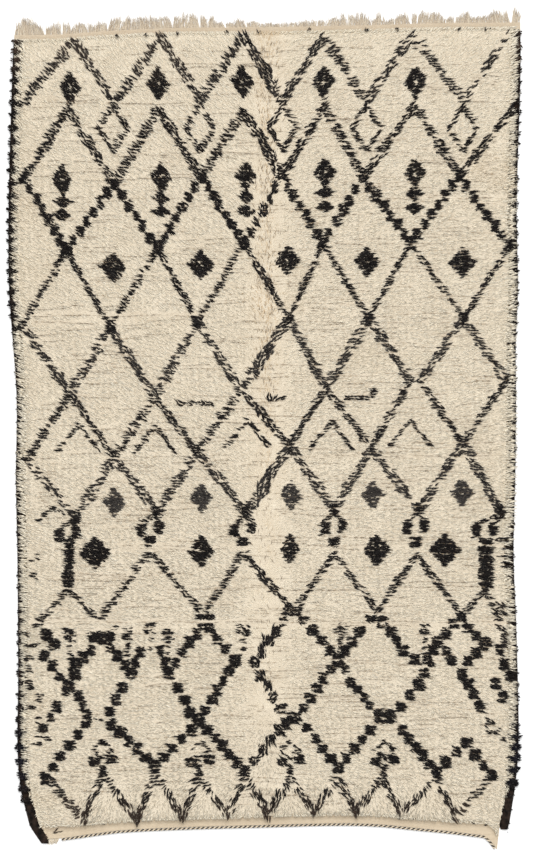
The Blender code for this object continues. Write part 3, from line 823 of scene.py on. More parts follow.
# %% The planting tree
def planting_tree():
    """Plants a tuft on every point, turned to its lie and rolled a little at random."""
    tree, given = new_tree("planted tufts", Shoulder=0.45, Arch=0.7, Roll=0.6, Seed=1)
    tuft = blade(tree, given.output("Shoulder"), given.output("Arch"))
    ahead = turned_along(tree, carried(tree, "lie", "FLOAT_VECTOR"), "X")
    upright = turned_along(tree, (0, 0, 1), "Z", Rotation=ahead)
    roll = given.output("Roll")
    sizes = {"Min_001": 0 - roll, "Max_001": roll, "Seed": given.output("Seed")}
    draw = node(tree, "FunctionNodeRandomValue", sizes, "Value_001")
    spin = node(tree, "FunctionNodeAxisAngleToRotation", {"Axis": (1, 0, 0), "Angle": draw})
    both = {"Rotation": upright, "Rotate By": spin}
    rolled = node(tree, "FunctionNodeRotateRotation", both, rotation_space="LOCAL")
    return finish_tree(tree, planted(tree, given, tuft, rolled), given)


LEAST_HEIGHT = 0.1 * MM  # wool never sinks under the floor


def run(tree, name, base, **sizes):
    """Run a tree on a mesh and keep the result as a plain mesh object."""
    source = add_object(f"{name} source", base)
    modifier = source.modifiers.new(tree.name, "NODES")
    modifier.node_group = tree
    identifiers = {s.name: s.identifier for s in tree.interface.items_tree if s.in_out == "INPUT"}
    for label, value in sizes.items():
        modifier[identifiers[label]] = value
    graph = bpy.context.evaluated_depsgraph_get()
    mesh = bpy.data.meshes.new_from_object(source.evaluated_get(graph), depsgraph=graph)
    bpy.data.objects.remove(source, do_unlink=True)
    mesh.name = name
    places = np.empty(3 * len(mesh.vertices), np.float32)
    mesh.vertices.foreach_get("co", places)
    places[2::3] = np.maximum(places[2::3], LEAST_HEIGHT)
    mesh.vertices.foreach_set("co", places)
    for label in ("lie", "length", "girth"):
        if label in mesh.attributes:
            mesh.attributes.remove(mesh.attributes[label])
    print(f"{name}: {sum(len(face.vertices) - 2 for face in mesh.polygons)} triangles")
    return add_object(name, mesh)


def grow(name, tree, wool, points, lie, girth, dye, extra=None, **sizes):
    """Grow a tree's tufts on a set of knots, from where each one lies to, its girth and its dye."""
    base = bpy.data.meshes.new(f"{name} knots")
    base.vertices.add(len(points))
    base.vertices.foreach_set("co", np.ascontiguousarray(points, np.float32).ravel())
    length = np.linalg.norm(lie, axis=1)
    for label, values in {"lie": lie, "length": length, "girth": girth, "dye": dye, **(extra or {})}.items():
        values = np.ascontiguousarray(values, np.float32)
        kind, field = ("FLOAT_VECTOR", "vector") if values.ndim == 2 else ("FLOAT", "value")
        base.attributes.new(label, kind, "POINT").data.foreach_set(field, values.ravel())
    print(f"{name}: {len(points)} planted")
    return run(tree, name, base, Wool=wool, **sizes)


plant = planting_tree()
print("planting tree ready")

# %% [markdown]
# ## Wool
#
# Undyed handspun wool is dull and uneven. Each tuft carries its own colour, and the material adds the fine
# streaks of the fibres in it, a little bump, and a soft sheen on its edges. One function makes all of the
# rug's finishes, from a rule for the colour and the height at a place.


# %% Wool finishes
def finish(name, look, bump, roughness, specular, **more):
    """A material from a look, which gives a place's colour and height, and a bump's strength and depth."""
    material = bpy.data.materials.new(name)
    material.use_nodes = True
    tree = material.node_tree
    shader = tree.nodes["Principled BSDF"]
    colour, height = look(tree, node(tree, "ShaderNodeTexCoord", output="Object"))
    tree.links.new(colour.socket, shader.inputs["Base Color"])
    strength, depth = bump
    raised = node(tree, "ShaderNodeBump", {"Strength": strength, "Distance": depth, "Height": height})
    tree.links.new(raised.socket, shader.inputs["Normal"])
    constants = {"Roughness": roughness, "Specular IOR Level": specular, "Sheen Weight": 0.0, **more}
    for label, value in constants.items():
        shader.inputs[label].default_value = value
    return material


def blend(tree, share, low, high):
    """A colour a share of the way from one to another."""
    inputs = {"Factor_Float": share, "A_Color": (*low, 1), "B_Color": (*high, 1)}
    return node(tree, "ShaderNodeMix", inputs, "Result_Color", data_type="RGBA")


def dyed(streak, strands=True):
    """The look of wool whose colour each tuft carries in its dye attribute, with fibres streaked in."""

    def look(tree, place):
        dye = node(tree, "ShaderNodeAttribute", output="Color", attribute_name="dye")
        if strands:
            spot = node(tree, "ShaderNodeAttribute", output="Vector", attribute_name="fibre")
            drawn = vector_maths(tree, "MULTIPLY", spot, (1.6, 3.2, 1.0))
            apart = vector_maths(tree, "MULTIPLY", place, (30.0, 30.0, 30.0))
            fibres = noise(tree, vector_maths(tree, "ADD", drawn, apart), 1.0, 4.0)
        else:
            fibres = noise(tree, place, 420.0, 3.0)
        light = 1 - streak + fibres * (2 * streak)
        return vector_maths(tree, "MULTIPLY", dye, vector(tree, light, light, light)), fibres

    return look


FIBRE_BUMP = (0.35, 0.6 * MM)
ivory_sheen = {"Sheen Weight": 0.03, "Sheen Roughness": 0.6}
warp_sheen = {"Sheen Weight": 0.25, "Sheen Roughness": 0.6}
ivory_wool = finish("ivory pile wool", dyed(0.13), FIBRE_BUMP, 0.88, 0.12, **ivory_sheen)
dark_wool = finish("dark pile wool", dyed(0.45), FIBRE_BUMP, 0.90, 0.12)
warp_wool = finish("spun warp wool", dyed(0.16, False), FIBRE_BUMP, 0.88, 0.12, **warp_sheen)
print("pile and warp wool ready")

# %% Dyes
# The deep end of the ivory serves darker batches and patches, and also the painted shade in the row troughs
# and along the fold.
IVORY_DEEP = np.array((0.66, 0.51, 0.33))
IVORY = np.array((0.875, 0.787, 0.622))
IVORY_LIGHT = np.array((0.92, 0.852, 0.712))
BLACK_WOOL = np.array((0.0085, 0.0078, 0.0082))
BROWN_WOOL = np.array((0.075, 0.050, 0.036))
GREY_WOOL = np.array((0.30, 0.27, 0.24))
WARP_DARK, WARP_LIGHT = np.array((0.48, 0.38, 0.27)), np.array((0.74, 0.65, 0.51))
CORNER_DARK, CORNER_LIGHT = np.array((0.62, 0.52, 0.38)), np.array((0.84, 0.76, 0.62))
# The weft's darker browns also paint the shade of the parted roots.
WEFT_DARK_AND_SHADE, WEFT_LIGHT = np.array((0.16, 0.105, 0.058)), np.array((0.45, 0.33, 0.20))

# Where the ivory is darker and warmer in tone: its middle x and y, how far it spreads both ways, and how
# strongly.
DARKER_PATCHES = [
    (0.02, 1.26, 0.06, 0.16, 0.8), (0.02, 0.42, 0.10, 0.07, 1.0), (0.02, 0.00, 0.05, 0.35, 0.8),
    (-0.80, 0.77, 0.08, 0.45, 0.6), (0.75, 0.88, 0.12, 0.12, 0.9), (0.28, 0.28, 0.09, 0.05, 0.8),
    (-0.45, -1.29, 0.40, 0.03, 0.7), (0.75, -0.10, 0.12, 0.10, 0.7), (-0.76, -0.98, 0.05, 0.08, 0.9),
    (0.62, -1.29, 0.20, 0.04, 0.7),
]
DARKER_PATCH_DEPTH = 0.33


def between(low, high, share):
    """Colours a share of the way from one to another, one for each share."""
    share = np.clip(share, 0, 1)[:, None]
    return low * (1 - share) + high * share


def ivory_dye(x, y, ridge):
    """The colour of ivory tufts: nearly alike, but batches of yarn differ, with painted light on the rows'
    crests and painted shade in their troughs and in the fold's crease.
    """
    batch = 0.5 * wobble(x, y * 3.0, 0.9, 0.4) + 0.35 * wobble(x, y * 2.0, 0.23, 1.9)
    # Painted light and shade: ridge makes the crests of the rows lighter and the troughs between them darker.
    share = 0.56 + 0.16 * batch + 0.14 * ridge + chance.normal(0, 0.045, len(x))
    # Painted shade: the fold's crease is made darker, more towards the head.
    fold = near_fold(x, 35 * MM) * np.interp(y, (-0.9, 0.0, 0.3), (0.15, 0.35, 1.0))
    share = share + 0.05 - fold * chance.uniform(0.1, 0.85, len(x))
    for spot_x, spot_y, wide, tall, strong in DARKER_PATCHES:
        share -= DARKER_PATCH_DEPTH * strong * np.exp(-(((x - spot_x) / wide) ** 2) - ((y - spot_y) / tall) ** 2)
    low = between(IVORY_DEEP, IVORY, share * 2)
    return np.where((share > 0.5)[:, None], between(IVORY, IVORY_LIGHT, share * 2 - 1), low)


def dark_dye(x, y, faded):
    """Brown-black, browner at the foot's points and in the upper left, greyer where it has faded."""
    number = len(x)
    brown = 0.75 * ramp(-1.27 - y, 0.06) + 0.35 * ramp(y - 1.2, 0.1) * (x < -0.25)
    brown = brown * chance.uniform(0.5, 1.4, number) + chance.normal(0.06, 0.10, number)
    dye = between(BLACK_WOOL, BROWN_WOOL, brown)
    grey = np.clip(faded + chance.normal(0.0, 0.05, number), 0, 1)[:, None]
    return dye * (1 - grey) + GREY_WOOL * grey


print(len(DARKER_PATCHES), "deepened places")

# %% [markdown]
# ## The knots
#
# The tufts stand in rows, a little closer along the rug than across it. Each is looked up in the chart where
# its tip shows, not where its root is, so that the pattern stays sharp under the leaning wool.

# %% Where the ivory knots stand
KNOT_PITCH_ACROSS = 6.4 * MM
KNOT_PITCH_ALONG = 4.7 * MM
TUFT_LENGTH = 33 * MM
TUFT_GIRTH = 1.6 * MM
TUFT_SINK = 1.5 * MM  # how far a tuft's tip sits below the height it is given
GROUND_THICKNESS = 3.2 * MM
PILE_BED_DEPTH = 4.2 * MM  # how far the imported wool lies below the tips

columns = round(CLOTH_WIDTH / KNOT_PITCH_ACROSS)
rows = round(CLOTH_LENGTH / KNOT_PITCH_ALONG)
grid_u, grid_v = np.meshgrid(np.arange(columns), np.arange(rows))
count = rows * columns
knot_u = ((grid_u + 0.25 + 0.5 * (grid_v % 2)).ravel() + chance.uniform(-0.42, 0.42, count)) / columns
knot_v = ((grid_v + 0.5).ravel() + chance.uniform(-0.42, 0.42, count)) / rows
knot_x, knot_y = place_on_cloth(knot_u, knot_v)
lie_x, lie_y, cracked, strength = lie_of(knot_x, knot_y)
lie_x, lie_y = turned_by(lie_x, lie_y, chance.normal(0, math.radians(12), count))
length = TUFT_LENGTH * chance.uniform(0.75, 1.2, count)
slope = np.radians(np.clip(chance.normal(17, 3.8, count), 4, 50))
print(rows, "rows of", columns, "knots")

# %% [markdown]
# The wool reaches as far as its length lets it, less at the ends of the rug and beside the dark side cords,
# and neighbouring tufts lean together in small clumps.

# %% How far the ivory tufts reach
CLUMP_ACROSS, CLUMP_ALONG = 24 * MM, 15 * MM
CLUMPING = 0.30
ROW_SHOWING = 9.5 * MM
END_SLOPE = 14 * MM  # at the head and the foot the pile gets lower over this width
END_REACH = 7 * MM

# How wide the side cords show beside the ivory wool: y, then mm on the left and on the right.
CORD_SHOWING = np.array([
    (-1.45, 30, 30), (-1.31, 26, 28), (-1.27, 14, 14), (-1.05, 10, 9), (-0.95, 6, 0), (-0.70, 2, -1),
    (-0.34, -2, -1), (-0.30, -2, -8), (-0.04, -2, -6), (0.30, -1, -4), (0.36, 7, -3), (0.90, 8, -2),
    (1.15, 8, 3), (1.25, 6, 4), (1.40, 6, 4),
])


def bunching(y, side):
    """How the dark wool gathers along a side cord: near 1 in a bunch and near 0 between two."""
    phase = 0.7 if side == "left" else 2.6
    return np.clip(0.5 + 0.6 * np.sin(y / (6.6 * MM) + 3 * np.sin(y * 9 + phase) + phase), 0, 1)


def cord_showing(side, column):
    """How far the ivory wool stops short of one side cord's outer edge."""
    return (read_off(CORD_SHOWING, knot_y, column) + 5 * bunching(knot_y, side) - 2.5) * MM


row_place = (knot_y + 2.5 * MM * wobble(knot_x, knot_y, 0.16, 2.2)) / ROW_SHOWING
ridge = np.sin(2 * math.pi * row_place) * np.clip(0.55 + 0.6 * wobble(knot_x, knot_y, 0.35, 3.1), 0, 1)
top = pile_height(knot_u, knot_v) + chance.normal(0, 0.45 * MM, count) - 2.4 * MM * cracked + 1.4 * MM * ridge
near_side = np.minimum(knot_u, 1 - knot_u) * PILE_WIDTH
near_foot = ramp(FALLING_PILE - knot_y, 0.06)
end_gap = np.minimum(knot_v, 1 - knot_v) * CLOTH_LENGTH
last_rows = 1 - ramp(end_gap, END_SLOPE)
top = top - 2.5 * MM * last_rows
lie_x = lie_x * (1 - 0.95 * (1 - ramp(near_side, 0.05)) * near_foot)
ragged = (1 - ramp(near_side, 0.014)) * (0.5 + 0.9 * wobble(knot_x * 0, knot_y, 0.045, 0.7))
length = length * (1 + np.clip(ragged, -0.4, 0.6) * (near_foot < 0.5))
reach = length * np.cos(slope) * strength
to_end = np.where(knot_v > 0.5, lie_y, -lie_y)
reach = np.where(to_end > 0.1, np.minimum(reach, (end_gap + END_REACH) / np.maximum(to_end, 0.1)), reach)
left_room = knot_x - across(side_bands["left"]["left"], knot_y) - cord_showing("left", 1)
right_room = across(side_bands["right"]["right"], knot_y) - knot_x - cord_showing("right", 2)
side_room = np.where(lie_x < 0, left_room, right_room) + chance.normal(0, 1.2 * MM, count)
reach = np.minimum(reach, np.maximum(side_room, 5 * MM) / np.maximum(np.abs(lie_x), 0.1))
step_x = lie_x * reach + CLUMPING * ((np.floor(knot_x / CLUMP_ACROSS) + 0.5) * CLUMP_ACROSS - knot_x)
step_y = lie_y * reach + CLUMPING * ((np.floor(knot_y / CLUMP_ALONG) + 0.5) * CLUMP_ALONG - knot_y)
rise = np.minimum(length * np.sin(slope), np.maximum(top - 4.5 * MM, 0.5 * MM))
rise = rise * (1 - last_rows) - 1.0 * MM * last_rows
seen_x, seen_y = knot_x + 0.6 * step_x, knot_y + 0.6 * step_y
cover, fade, _ = pattern(seen_x, seen_y)
solid = cover > 0.93
thinned = (0.80 + 0.18 * near_fold(seen_x, 50 * MM)) * (cover > 0)
left_out = chance.uniform(0, 1, count) < np.where(solid, 1 - 3 * (1 - cover), thinned)
under_band = (near_side < 11 * MM) & (knot_y < BARE_BAND)
left_out |= under_band
filling = np.flatnonzero(solid & left_out & ~under_band)
print(count, "knots,", int(left_out.sum()), "of them left out for dark ones")

# %% [markdown]
# Dark knots are thicker and stand in plain rows, so that from above each shows as a spiky stroke. A row's
# knots go dark in short runs, and each knot opens into three tufts that meet again at the tip.

# %% Dark knots
LOCK_PITCH_ACROSS = 9.0 * MM
LOCK_PITCH_ALONG = 8.8 * MM
LOCK_LENGTH = 29 * MM
LOCK_GIRTH = 2.3 * MM
LOCK_TUFTS = 3
LOCK_SPREAD = 1.5 * MM  # how far its tufts stand apart at the root
RUN = 22 * MM  # dark knots of one row come in runs
MOST_RUNS = 90

lock_columns, lock_rows = round(CLOTH_WIDTH / LOCK_PITCH_ACROSS), round(CLOTH_LENGTH / LOCK_PITCH_ALONG)
lock_grid_u, lock_grid_v = np.meshgrid(np.arange(lock_columns), np.arange(lock_rows))
lock_row = lock_grid_v.ravel()
lock_count = len(lock_row)
lock_u = (lock_grid_u.ravel() + 0.5 + chance.uniform(-0.4, 0.4, lock_count)) / lock_columns
lock_v = (lock_row + 0.5 + chance.normal(0, 0.12, lock_count)) / lock_rows
lock_x, lock_y = place_on_cloth(lock_u, lock_v)
run_draw = chance.uniform(0, 1, (lock_rows, MOST_RUNS))
run_turn = chance.normal(0, math.radians(9), (lock_rows, MOST_RUNS))
run_of = ((lock_x + 1.0) / RUN + chance.uniform(0, 1, lock_rows)[lock_row]).astype(int)
half_reach = 0.52 * LOCK_LENGTH * math.cos(math.radians(20))
plain_x, plain_y, _, _ = lie_of(lock_x, lock_y)
shown_x, shown_y = lock_x + half_reach * plain_x, lock_y + half_reach * plain_y
lock_cover, lock_fade, lock_slant = pattern(shown_x, shown_y)
lock_lie_x, lock_lie_y, _, _ = lie_of(shown_x, shown_y, lock_slant)
turn = run_turn[lock_row, run_of] + chance.normal(0, math.radians(5), lock_count)
lock_lie_x, lock_lie_y = turned_by(lock_lie_x, lock_lie_y, turn)
lock_x, lock_y = shown_x - half_reach * lock_lie_x, shown_y - half_reach * lock_lie_y
draw = run_draw[lock_row, run_of] + chance.normal(0, 0.10, lock_count)
by_fold = near_fold(shown_x, 50 * MM) * ramp(shown_y + 1.15, 0.1)
dark_locks = np.flatnonzero((lock_cover > 0) & (draw < lock_cover + 0.3 * by_fold))
print(len(dark_locks), "dark knots at", lock_count, "places")


# %% Planting the pile
def knot_set(chosen, lift):
    """Where some of the knots' tufts start, and how they lie."""
    way = np.stack([step_x, step_y, rise], 1)[chosen]
    return np.stack([knot_x, knot_y, top + lift - rise - TUFT_SINK], 1)[chosen], way


pile_pieces = []
PILE_BANDS = 4
band = np.minimum((knot_v * PILE_BANDS).astype(int), PILE_BANDS - 1)
for k in range(PILE_BANDS):
    chosen = np.flatnonzero(~left_out & (band == k))
    # The ivory dye also paints light on the row crests and shade in the troughs and along the fold.
    dye = ivory_dye(knot_x[chosen], knot_y[chosen], ridge[chosen])
    thicker = 1 + 0.9 * (1 - ramp(near_side[chosen], 0.03))
    girth = TUFT_GIRTH * chance.uniform(0.8, 1.2, len(chosen)) * thicker
    points, way = knot_set(chosen, 0.0)
    made = grow(f"ivory_pile_{k + 1}", plant, ivory_wool, points, way, girth, dye, Seed=k, Roll=0.4)
    pile_pieces.append(made)


def dark_tufts():
    """The tufts of all dark knots: a lock's tufts stand a little apart and meet towards the tip."""
    lock = np.repeat(dark_locks, LOCK_TUFTS)
    number = len(lock)
    side = np.tile(np.linspace(-LOCK_SPREAD, LOCK_SPREAD, LOCK_TUFTS), len(dark_locks))
    side = side + chance.normal(0, 0.5 * MM, number)
    lie_x, lie_y = lock_lie_x[lock], lock_lie_y[lock]
    shift = chance.normal(0, 2.2 * MM, number)
    x = lock_x[lock] - lie_y * side + lie_x * shift
    y = lock_y[lock] + lie_x * side + lie_y * shift
    long = LOCK_LENGTH * np.repeat(chance.uniform(0.75, 1.15, len(dark_locks)), LOCK_TUFTS)
    long = long * chance.uniform(0.85, 1.1, number)
    slope = np.radians(chance.normal(19, 4, number))
    height = pile_height(lock_u[lock], lock_v[lock]) + chance.normal(2.2, 0.7, number) * MM
    rise = np.minimum(long * np.sin(slope), np.maximum(height - 5 * MM, 0.5 * MM))
    reach = long * np.cos(slope)
    meet = 0.75 * side + chance.normal(0, 0.7 * MM, number)
    way = np.stack([lie_x * reach + lie_y * meet, lie_y * reach - lie_x * meet, rise], 1)
    points = np.stack([x, y, height - rise - TUFT_SINK], 1)
    girth = LOCK_GIRTH * chance.uniform(0.8, 1.2, number) * (1 + 0.4 * by_fold[lock])
    return grow("dark_pile", plant, dark_wool, points, way, girth, dark_dye(x, y, lock_fade[lock]), Seed=9)


def dark_filling():
    """The dark knots that fill solid blocks between their locks, shorter than the rest."""
    dye = dark_dye(knot_x[filling], knot_y[filling], fade[filling])
    girth = 1.5 * TUFT_GIRTH * chance.uniform(0.8, 1.2, len(filling))
    points, way = knot_set(filling, 0.4 * MM)
    points, way = points + way * (0.2, 0.2, 0.65), way * (0.72, 0.72, 0.35)
    return grow("dark_filling", plant, dark_wool, points, way, girth, dye, Seed=8)


pile_pieces += [dark_tufts(), dark_filling()]

# %% [markdown]
# ## Packed wool and ground cloth
#
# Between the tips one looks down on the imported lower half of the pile. It is one soft lumpy body on the
# ground cloth, which itself shows only as the bare flat weave at the foot and on the back.


# %% Slabs that follow the cloth
def slab(name, u, v, placing, high, look, low=0.0):
    """A closed body over a grid of u and v, from its flat underside to its top."""
    grid_u, grid_v = (grid.ravel() for grid in np.meshgrid(u, v))
    x, y = placing(grid_u, grid_v)
    bottom = np.stack([x, y, np.full(len(x), low)], 1)
    upper = np.stack([x, y, high(grid_u, grid_v)], 1)
    number = np.arange(len(x)).reshape(len(v), len(u))
    a, b, c, d = number[:-1, :-1], number[:-1, 1:], number[1:, 1:], number[1:, :-1]
    quads = np.stack([a, b, c, d], -1).reshape(-1, 4)
    ring = np.concatenate([number[0, :-1], number[:-1, -1], number[-1, :0:-1], number[:0:-1, 0]])
    after = np.roll(ring, -1)
    walls = np.stack([ring, after, after + len(x), ring + len(x)], -1)
    faces = np.concatenate([quads[:, ::-1], quads + len(x), walls])
    mesh = bpy.data.meshes.new(name)
    mesh.from_pydata(np.concatenate([bottom, upper]), [], faces.tolist())
    mesh.shade_smooth()
    mesh.set_sharp_from_angle(angle=math.radians(50))
    mesh.materials.append(look)
    print(f"{name}: {2 * len(faces)} triangles")
    return add_object(name, mesh)


def woven(light, dark, pitch):
    """The look of a flat weave: fine ridges across and cords along, in two close tones of wool."""

    def look(tree, place):
        x, y, _ = parts(place)
        weft = y.wave(pitch)
        ridges = weft * 0.35 + weft * x.wave(pitch) * 0.25 + 0.5
        uneven = noise(tree, place, 130.0, 4.0)
        share = ridges * 0.45 + uneven * 0.35 + noise(tree, place, 9.0) * 0.35
        return blend(tree, share, dark, light), ridges + uneven * 0.6

    return look


def packed(tree, place):
    """The look of packed ivory wool between the tips, mottled down to a warm brown that is partly painted
    shade.
    """
    stretched = vector_maths(tree, "MULTIPLY", place, (0.14, 1.0, 1.0))
    strands = noise(tree, stretched, 620.0, 4.0)
    share = strands * 0.7 + noise(tree, place, 14.0, 3.0) * 0.4
    # The brown end paints the shade deep between the tufts as well as the lower wool's own tone.
    return blend(tree, share, (0.42, 0.32, 0.20), (0.95, 0.86, 0.70)), strands


def woven_finish(name, light, dark, pitch):
    """Flat woven wool, with a strong bump for its ridges."""
    return finish(name, woven(light, dark, pitch), (0.8, 1.2 * MM), 0.92, 0.2, **{"Sheen Weight": 0.2})


BED_FLOOR = GROUND_THICKNESS + 0.2 * MM
BED_COLUMNS, BED_ROWS, STRIP_ROWS = 72, 108, 15


def bed_top(u, v):
    """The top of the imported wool: below the tips, and sloping down at the head and the foot."""
    end = 1 - ramp(np.minimum(v, 1 - v), 0.004)
    return np.maximum(pile_height(u, v) - PILE_BED_DEPTH - 5 * MM * end, BED_FLOOR + 1.0 * MM)


def place_on_ground(u, v):
    """Places over the whole cloth, with its bare strip."""
    return place_on_cloth(u, v, np.zeros_like)


def ground_top(u, v):
    """The top of the ground cloth, with the ridges of its wefts where it is bare."""
    return GROUND_THICKNESS + 0.35 * MM * np.interp(v, ground_v, weft_ridges) - 0.2 * MM


bed_v = np.concatenate([[0, 0.002, 0.004], np.linspace(0.01, 0.99, BED_ROWS), [0.996, 0.998, 1]])
bed_wool = finish("packed wool", packed, (1.0, 3.0 * MM), 0.95, 0.15)
bed_u = np.linspace(0.003, 0.997, BED_COLUMNS)
bed = slab("pile_bed", bed_u, bed_v, place_on_cloth, bed_top, bed_wool, BED_FLOOR)
ground_v = np.concatenate([np.linspace(0, 0.02, STRIP_ROWS), np.linspace(0.025, 1.0, 60)])
weft_ridges = np.where(np.arange(len(ground_v)) < STRIP_ROWS, np.arange(len(ground_v)) % 2, 0)
ground_weave = woven_finish("flat woven ground", (0.74, 0.63, 0.47), (0.42, 0.32, 0.21), 4.6 * MM)
ground = slab("ground_cloth", np.linspace(0, 1, 61), ground_v, place_on_ground, ground_top, ground_weave)

# %% [markdown]
# ## Side cords
#
# The outer warps are overcast in dark wool, turn beside turn, into a firm band. On most of its length the
# band is shaggy too: dark tufts lie out over the edge and in over the ivory pile. Near the foot the bare
# wrapped band shows.


# %% Side cords
def overcast(tree, place):
    """The look of brown-black overcasting: fine turns across the band."""
    turns = parts(place)[1].wave(2.2 * MM)
    uneven = noise(tree, place, 60.0, 4.0)
    share = (uneven - 0.34) * 2.4 + turns * 0.15
    return blend(tree, share, (0.004, 0.0032, 0.0028), (0.052, 0.033, 0.024)), turns + uneven


overcast_wool = finish("overcast dark wool", overcast, (0.7, 0.8 * MM), 0.85, 0.12)
BAND_TOP = {"left": 1.377, "right": 1.404}
BAND_TURNS = 420
BAND_LAP = 10 * MM  # how far the bare band laps over the cloth at the foot


def wrapped_band(side):
    """The firm band of overcast warps, with a rounded back and a rib for each turn of the wrapping."""
    edges = side_bands[side]
    lowest = max(edges["left"][0, 1], edges["right"][0, 1])
    high = min(edges["left"][-1, 1], edges["right"][-1, 1], BAND_TOP[side])
    turns = np.linspace(0, 1, BAND_TURNS)
    ribs = np.where(np.arange(BAND_TURNS) % 2, 0.5 * MM, 0.0)

    def placing(u, v):
        y = lowest + (high - lowest) * v
        left, right = across(edges["left"], y), across(edges["right"], y)
        low = ramp(BARE_BAND - y, 0.02)
        lap = BAND_LAP * low + chance.normal(0, 0.3 * MM, len(y))
        lap = lap + 1.6 * MM * low * wobble(0 * y, y, 0.05, 1.3)
        left, right = (left, right + lap) if side == "left" else (left - lap, right)
        return left + (right - left) * u, y

    def back(u, v):
        crown = np.sqrt(np.clip(np.sin(math.pi * (0.06 + 0.88 * u)), 0, 1))
        return 5.2 * MM * crown + np.interp(v, turns, ribs)

    return slab(f"{side}_side_cord", np.linspace(0, 1, 5), turns, placing, back, overcast_wool)


# The dark tufts on the side cords: y, then how thick they stand and how many mm long, each left and right.
SHAG = np.array([
    (-1.450, 0.20, 0.20, 8, 8), (-1.335, 0.20, 0.20, 9, 9), (-1.320, 0.90, 0.00, 17, 14),
    (-1.275, 1.00, 0.15, 19, 16), (-1.265, 1.00, 2.00, 20, 24), (-1.075, 1.00, 2.00, 20, 24),
    (-1.030, 0.90, 0.60, 18, 15), (-0.700, 0.40, 0.30, 12, 11), (-0.350, 0.25, 0.35, 10, 12),
    (-0.300, 0.25, 0.10, 9, 11), (-0.040, 0.25, 0.20, 9, 12), (0.000, 0.25, 0.40, 9, 13),
    (0.300, 0.35, 0.40, 10, 13), (0.400, 0.90, 0.50, 17, 14), (0.900, 1.00, 0.60, 18, 16),
    (1.200, 1.00, 0.75, 18, 16), (1.280, 0.60, 0.65, 20, 14), (1.370, 0.55, 0.65, 20, 14),
])
SHAG_TUFTS = 8400
LOWEST_SHAG = -1.41
BLUE_BLACK = np.array((0.8, 1.0, 1.7))


def side_shag(side):
    """The loose dark tufts along one side cord, in bunches."""
    edges = side_bands[side]
    out, outer, inner, column = (-1, "left", "right", 1) if side == "left" else (1, "right", "left", 2)
    y = chance.uniform(LOWEST_SHAG, BAND_TOP[side] - 8 * MM, SHAG_TUFTS)
    bunch = bunching(y, side) ** 2
    kept = chance.uniform(0, 1, len(y)) < read_off(SHAG, y, column) * (0.06 + 0.94 * bunch)
    y, bunch = y[kept], bunch[kept]
    number = len(y)
    reach = read_off(SHAG, y, column + 2) * MM * chance.uniform(0.75, 1.1, number)
    share = chance.beta(1.0, 2.2, number)
    x = across(edges[outer], y) * (1 - share) + across(edges[inner], y) * share
    outward = chance.uniform(0, 1, number) < 0.40 - 0.2 * share
    fan = np.where(y > 1.30, -0.35, read_off(LIES, y) * 0.35)
    angle = chance.normal(0, 0.22, number) + 0.25 * np.sin(y * 41)
    inward = (0.30 + 0.65 * bunch) * np.where((side == "right") & (y > -0.95), 0.55, 1.0)
    size = np.where(outward, 0.40 + 0.35 * bunch, inward) * reach
    facing = np.where(outward, out, -out)
    way = np.stack([facing * size * np.cos(angle), size * (np.sin(angle) + fan), 0.30 * reach], 1)
    height = np.where(outward, 4.0, 13.5 - 6.0 * share) * chance.uniform(0.75, 1.1, number)
    blue = 1 - ramp(np.abs(y + 1.14), 0.16)
    brown = 1 - ramp(np.abs(y - 1.33), 0.10)
    dye = between(BLACK_WOOL, BROWN_WOOL, brown + chance.normal(0.12, 0.12, number))
    dye = dye * between(np.ones(3), BLUE_BLACK, blue)
    girth = 2.7 * MM * chance.uniform(0.8, 1.25, number)
    points = np.stack([x, y, height * MM], 1)
    return grow(f"{side}_side_shag", plant, dark_wool, points, way, girth, dye, Seed=20 + out)


side_pieces = {}
for side in ("left", "right"):
    side_pieces[side] = (wrapped_band(side), side_shag(side))

# %% [markdown]
# ## Fringe
#
# At the head the warps were cut from the loom and left loose beyond a narrow heading. They are thin, kinked
# and uneven, and they gather in locks with gaps between. Each warp end is a long thin tuft, bent by noise
# that grows towards its tip and laid on the floor.


# %% A tree for loose strands
def strand_tree():
    """Plants long thin strands, bends them by noise towards their tips and keeps them on the floor."""
    tree, given = new_tree("loose strands", Joints=7, Kink=0.006, Kinks=55.0)
    line = node(tree, "GeometryNodeCurvePrimitiveLine", {"Start": (0, 0, 0), "End": (1, 0, 0)})
    points = given.output("Joints") + 1
    jointed = node(tree, "GeometryNodeResampleCurve", {"Curve": line, "Count": points}, mode="COUNT")
    share = node(tree, "GeometryNodeSplineParameter", output="Factor")
    section = node(tree, "GeometryNodeCurvePrimitiveCircle", {"Resolution": 3, "Radius": 1.0})
    sweep = {"Curve": jointed, "Profile Curve": section, "Scale": 1 - share * share * 0.8, "Fill Caps": True}
    swept = node(tree, "GeometryNodeCurveToMesh", sweep)
    strand = node(tree, "GeometryNodeMergeByDistance", {"Geometry": swept, "Distance": 0.1 * MM})
    place = node(tree, "GeometryNodeInputPosition")
    strand = marked(tree, strand, "along", parts(place)[0])
    ahead = turned_along(tree, carried(tree, "lie", "FLOAT_VECTOR"), "X")
    whole = node(tree, "GeometryNodeRealizeInstances", {"Geometry": planted(tree, given, strand, ahead)})
    apart = vector(tree, 0.0, 0.0, carried(tree, "number") * 0.013)
    swing = noise(tree, vector_maths(tree, "ADD", place, apart), given.output("Kinks"), 1.0, "Color")
    amount = carried(tree, "along") * given.output("Kink") * 2
    sideways = vector_maths(tree, "SUBTRACT", swing, (0.5, 0.5, 0.5))
    shift = vector_maths(tree, "MULTIPLY", sideways, vector(tree, amount, amount, amount * 0.25))
    bent = node(tree, "GeometryNodeSetPosition", {"Geometry": whole, "Offset": shift})
    return finish_tree(tree, bent, given)


loose = strand_tree()
print("strand tree ready")

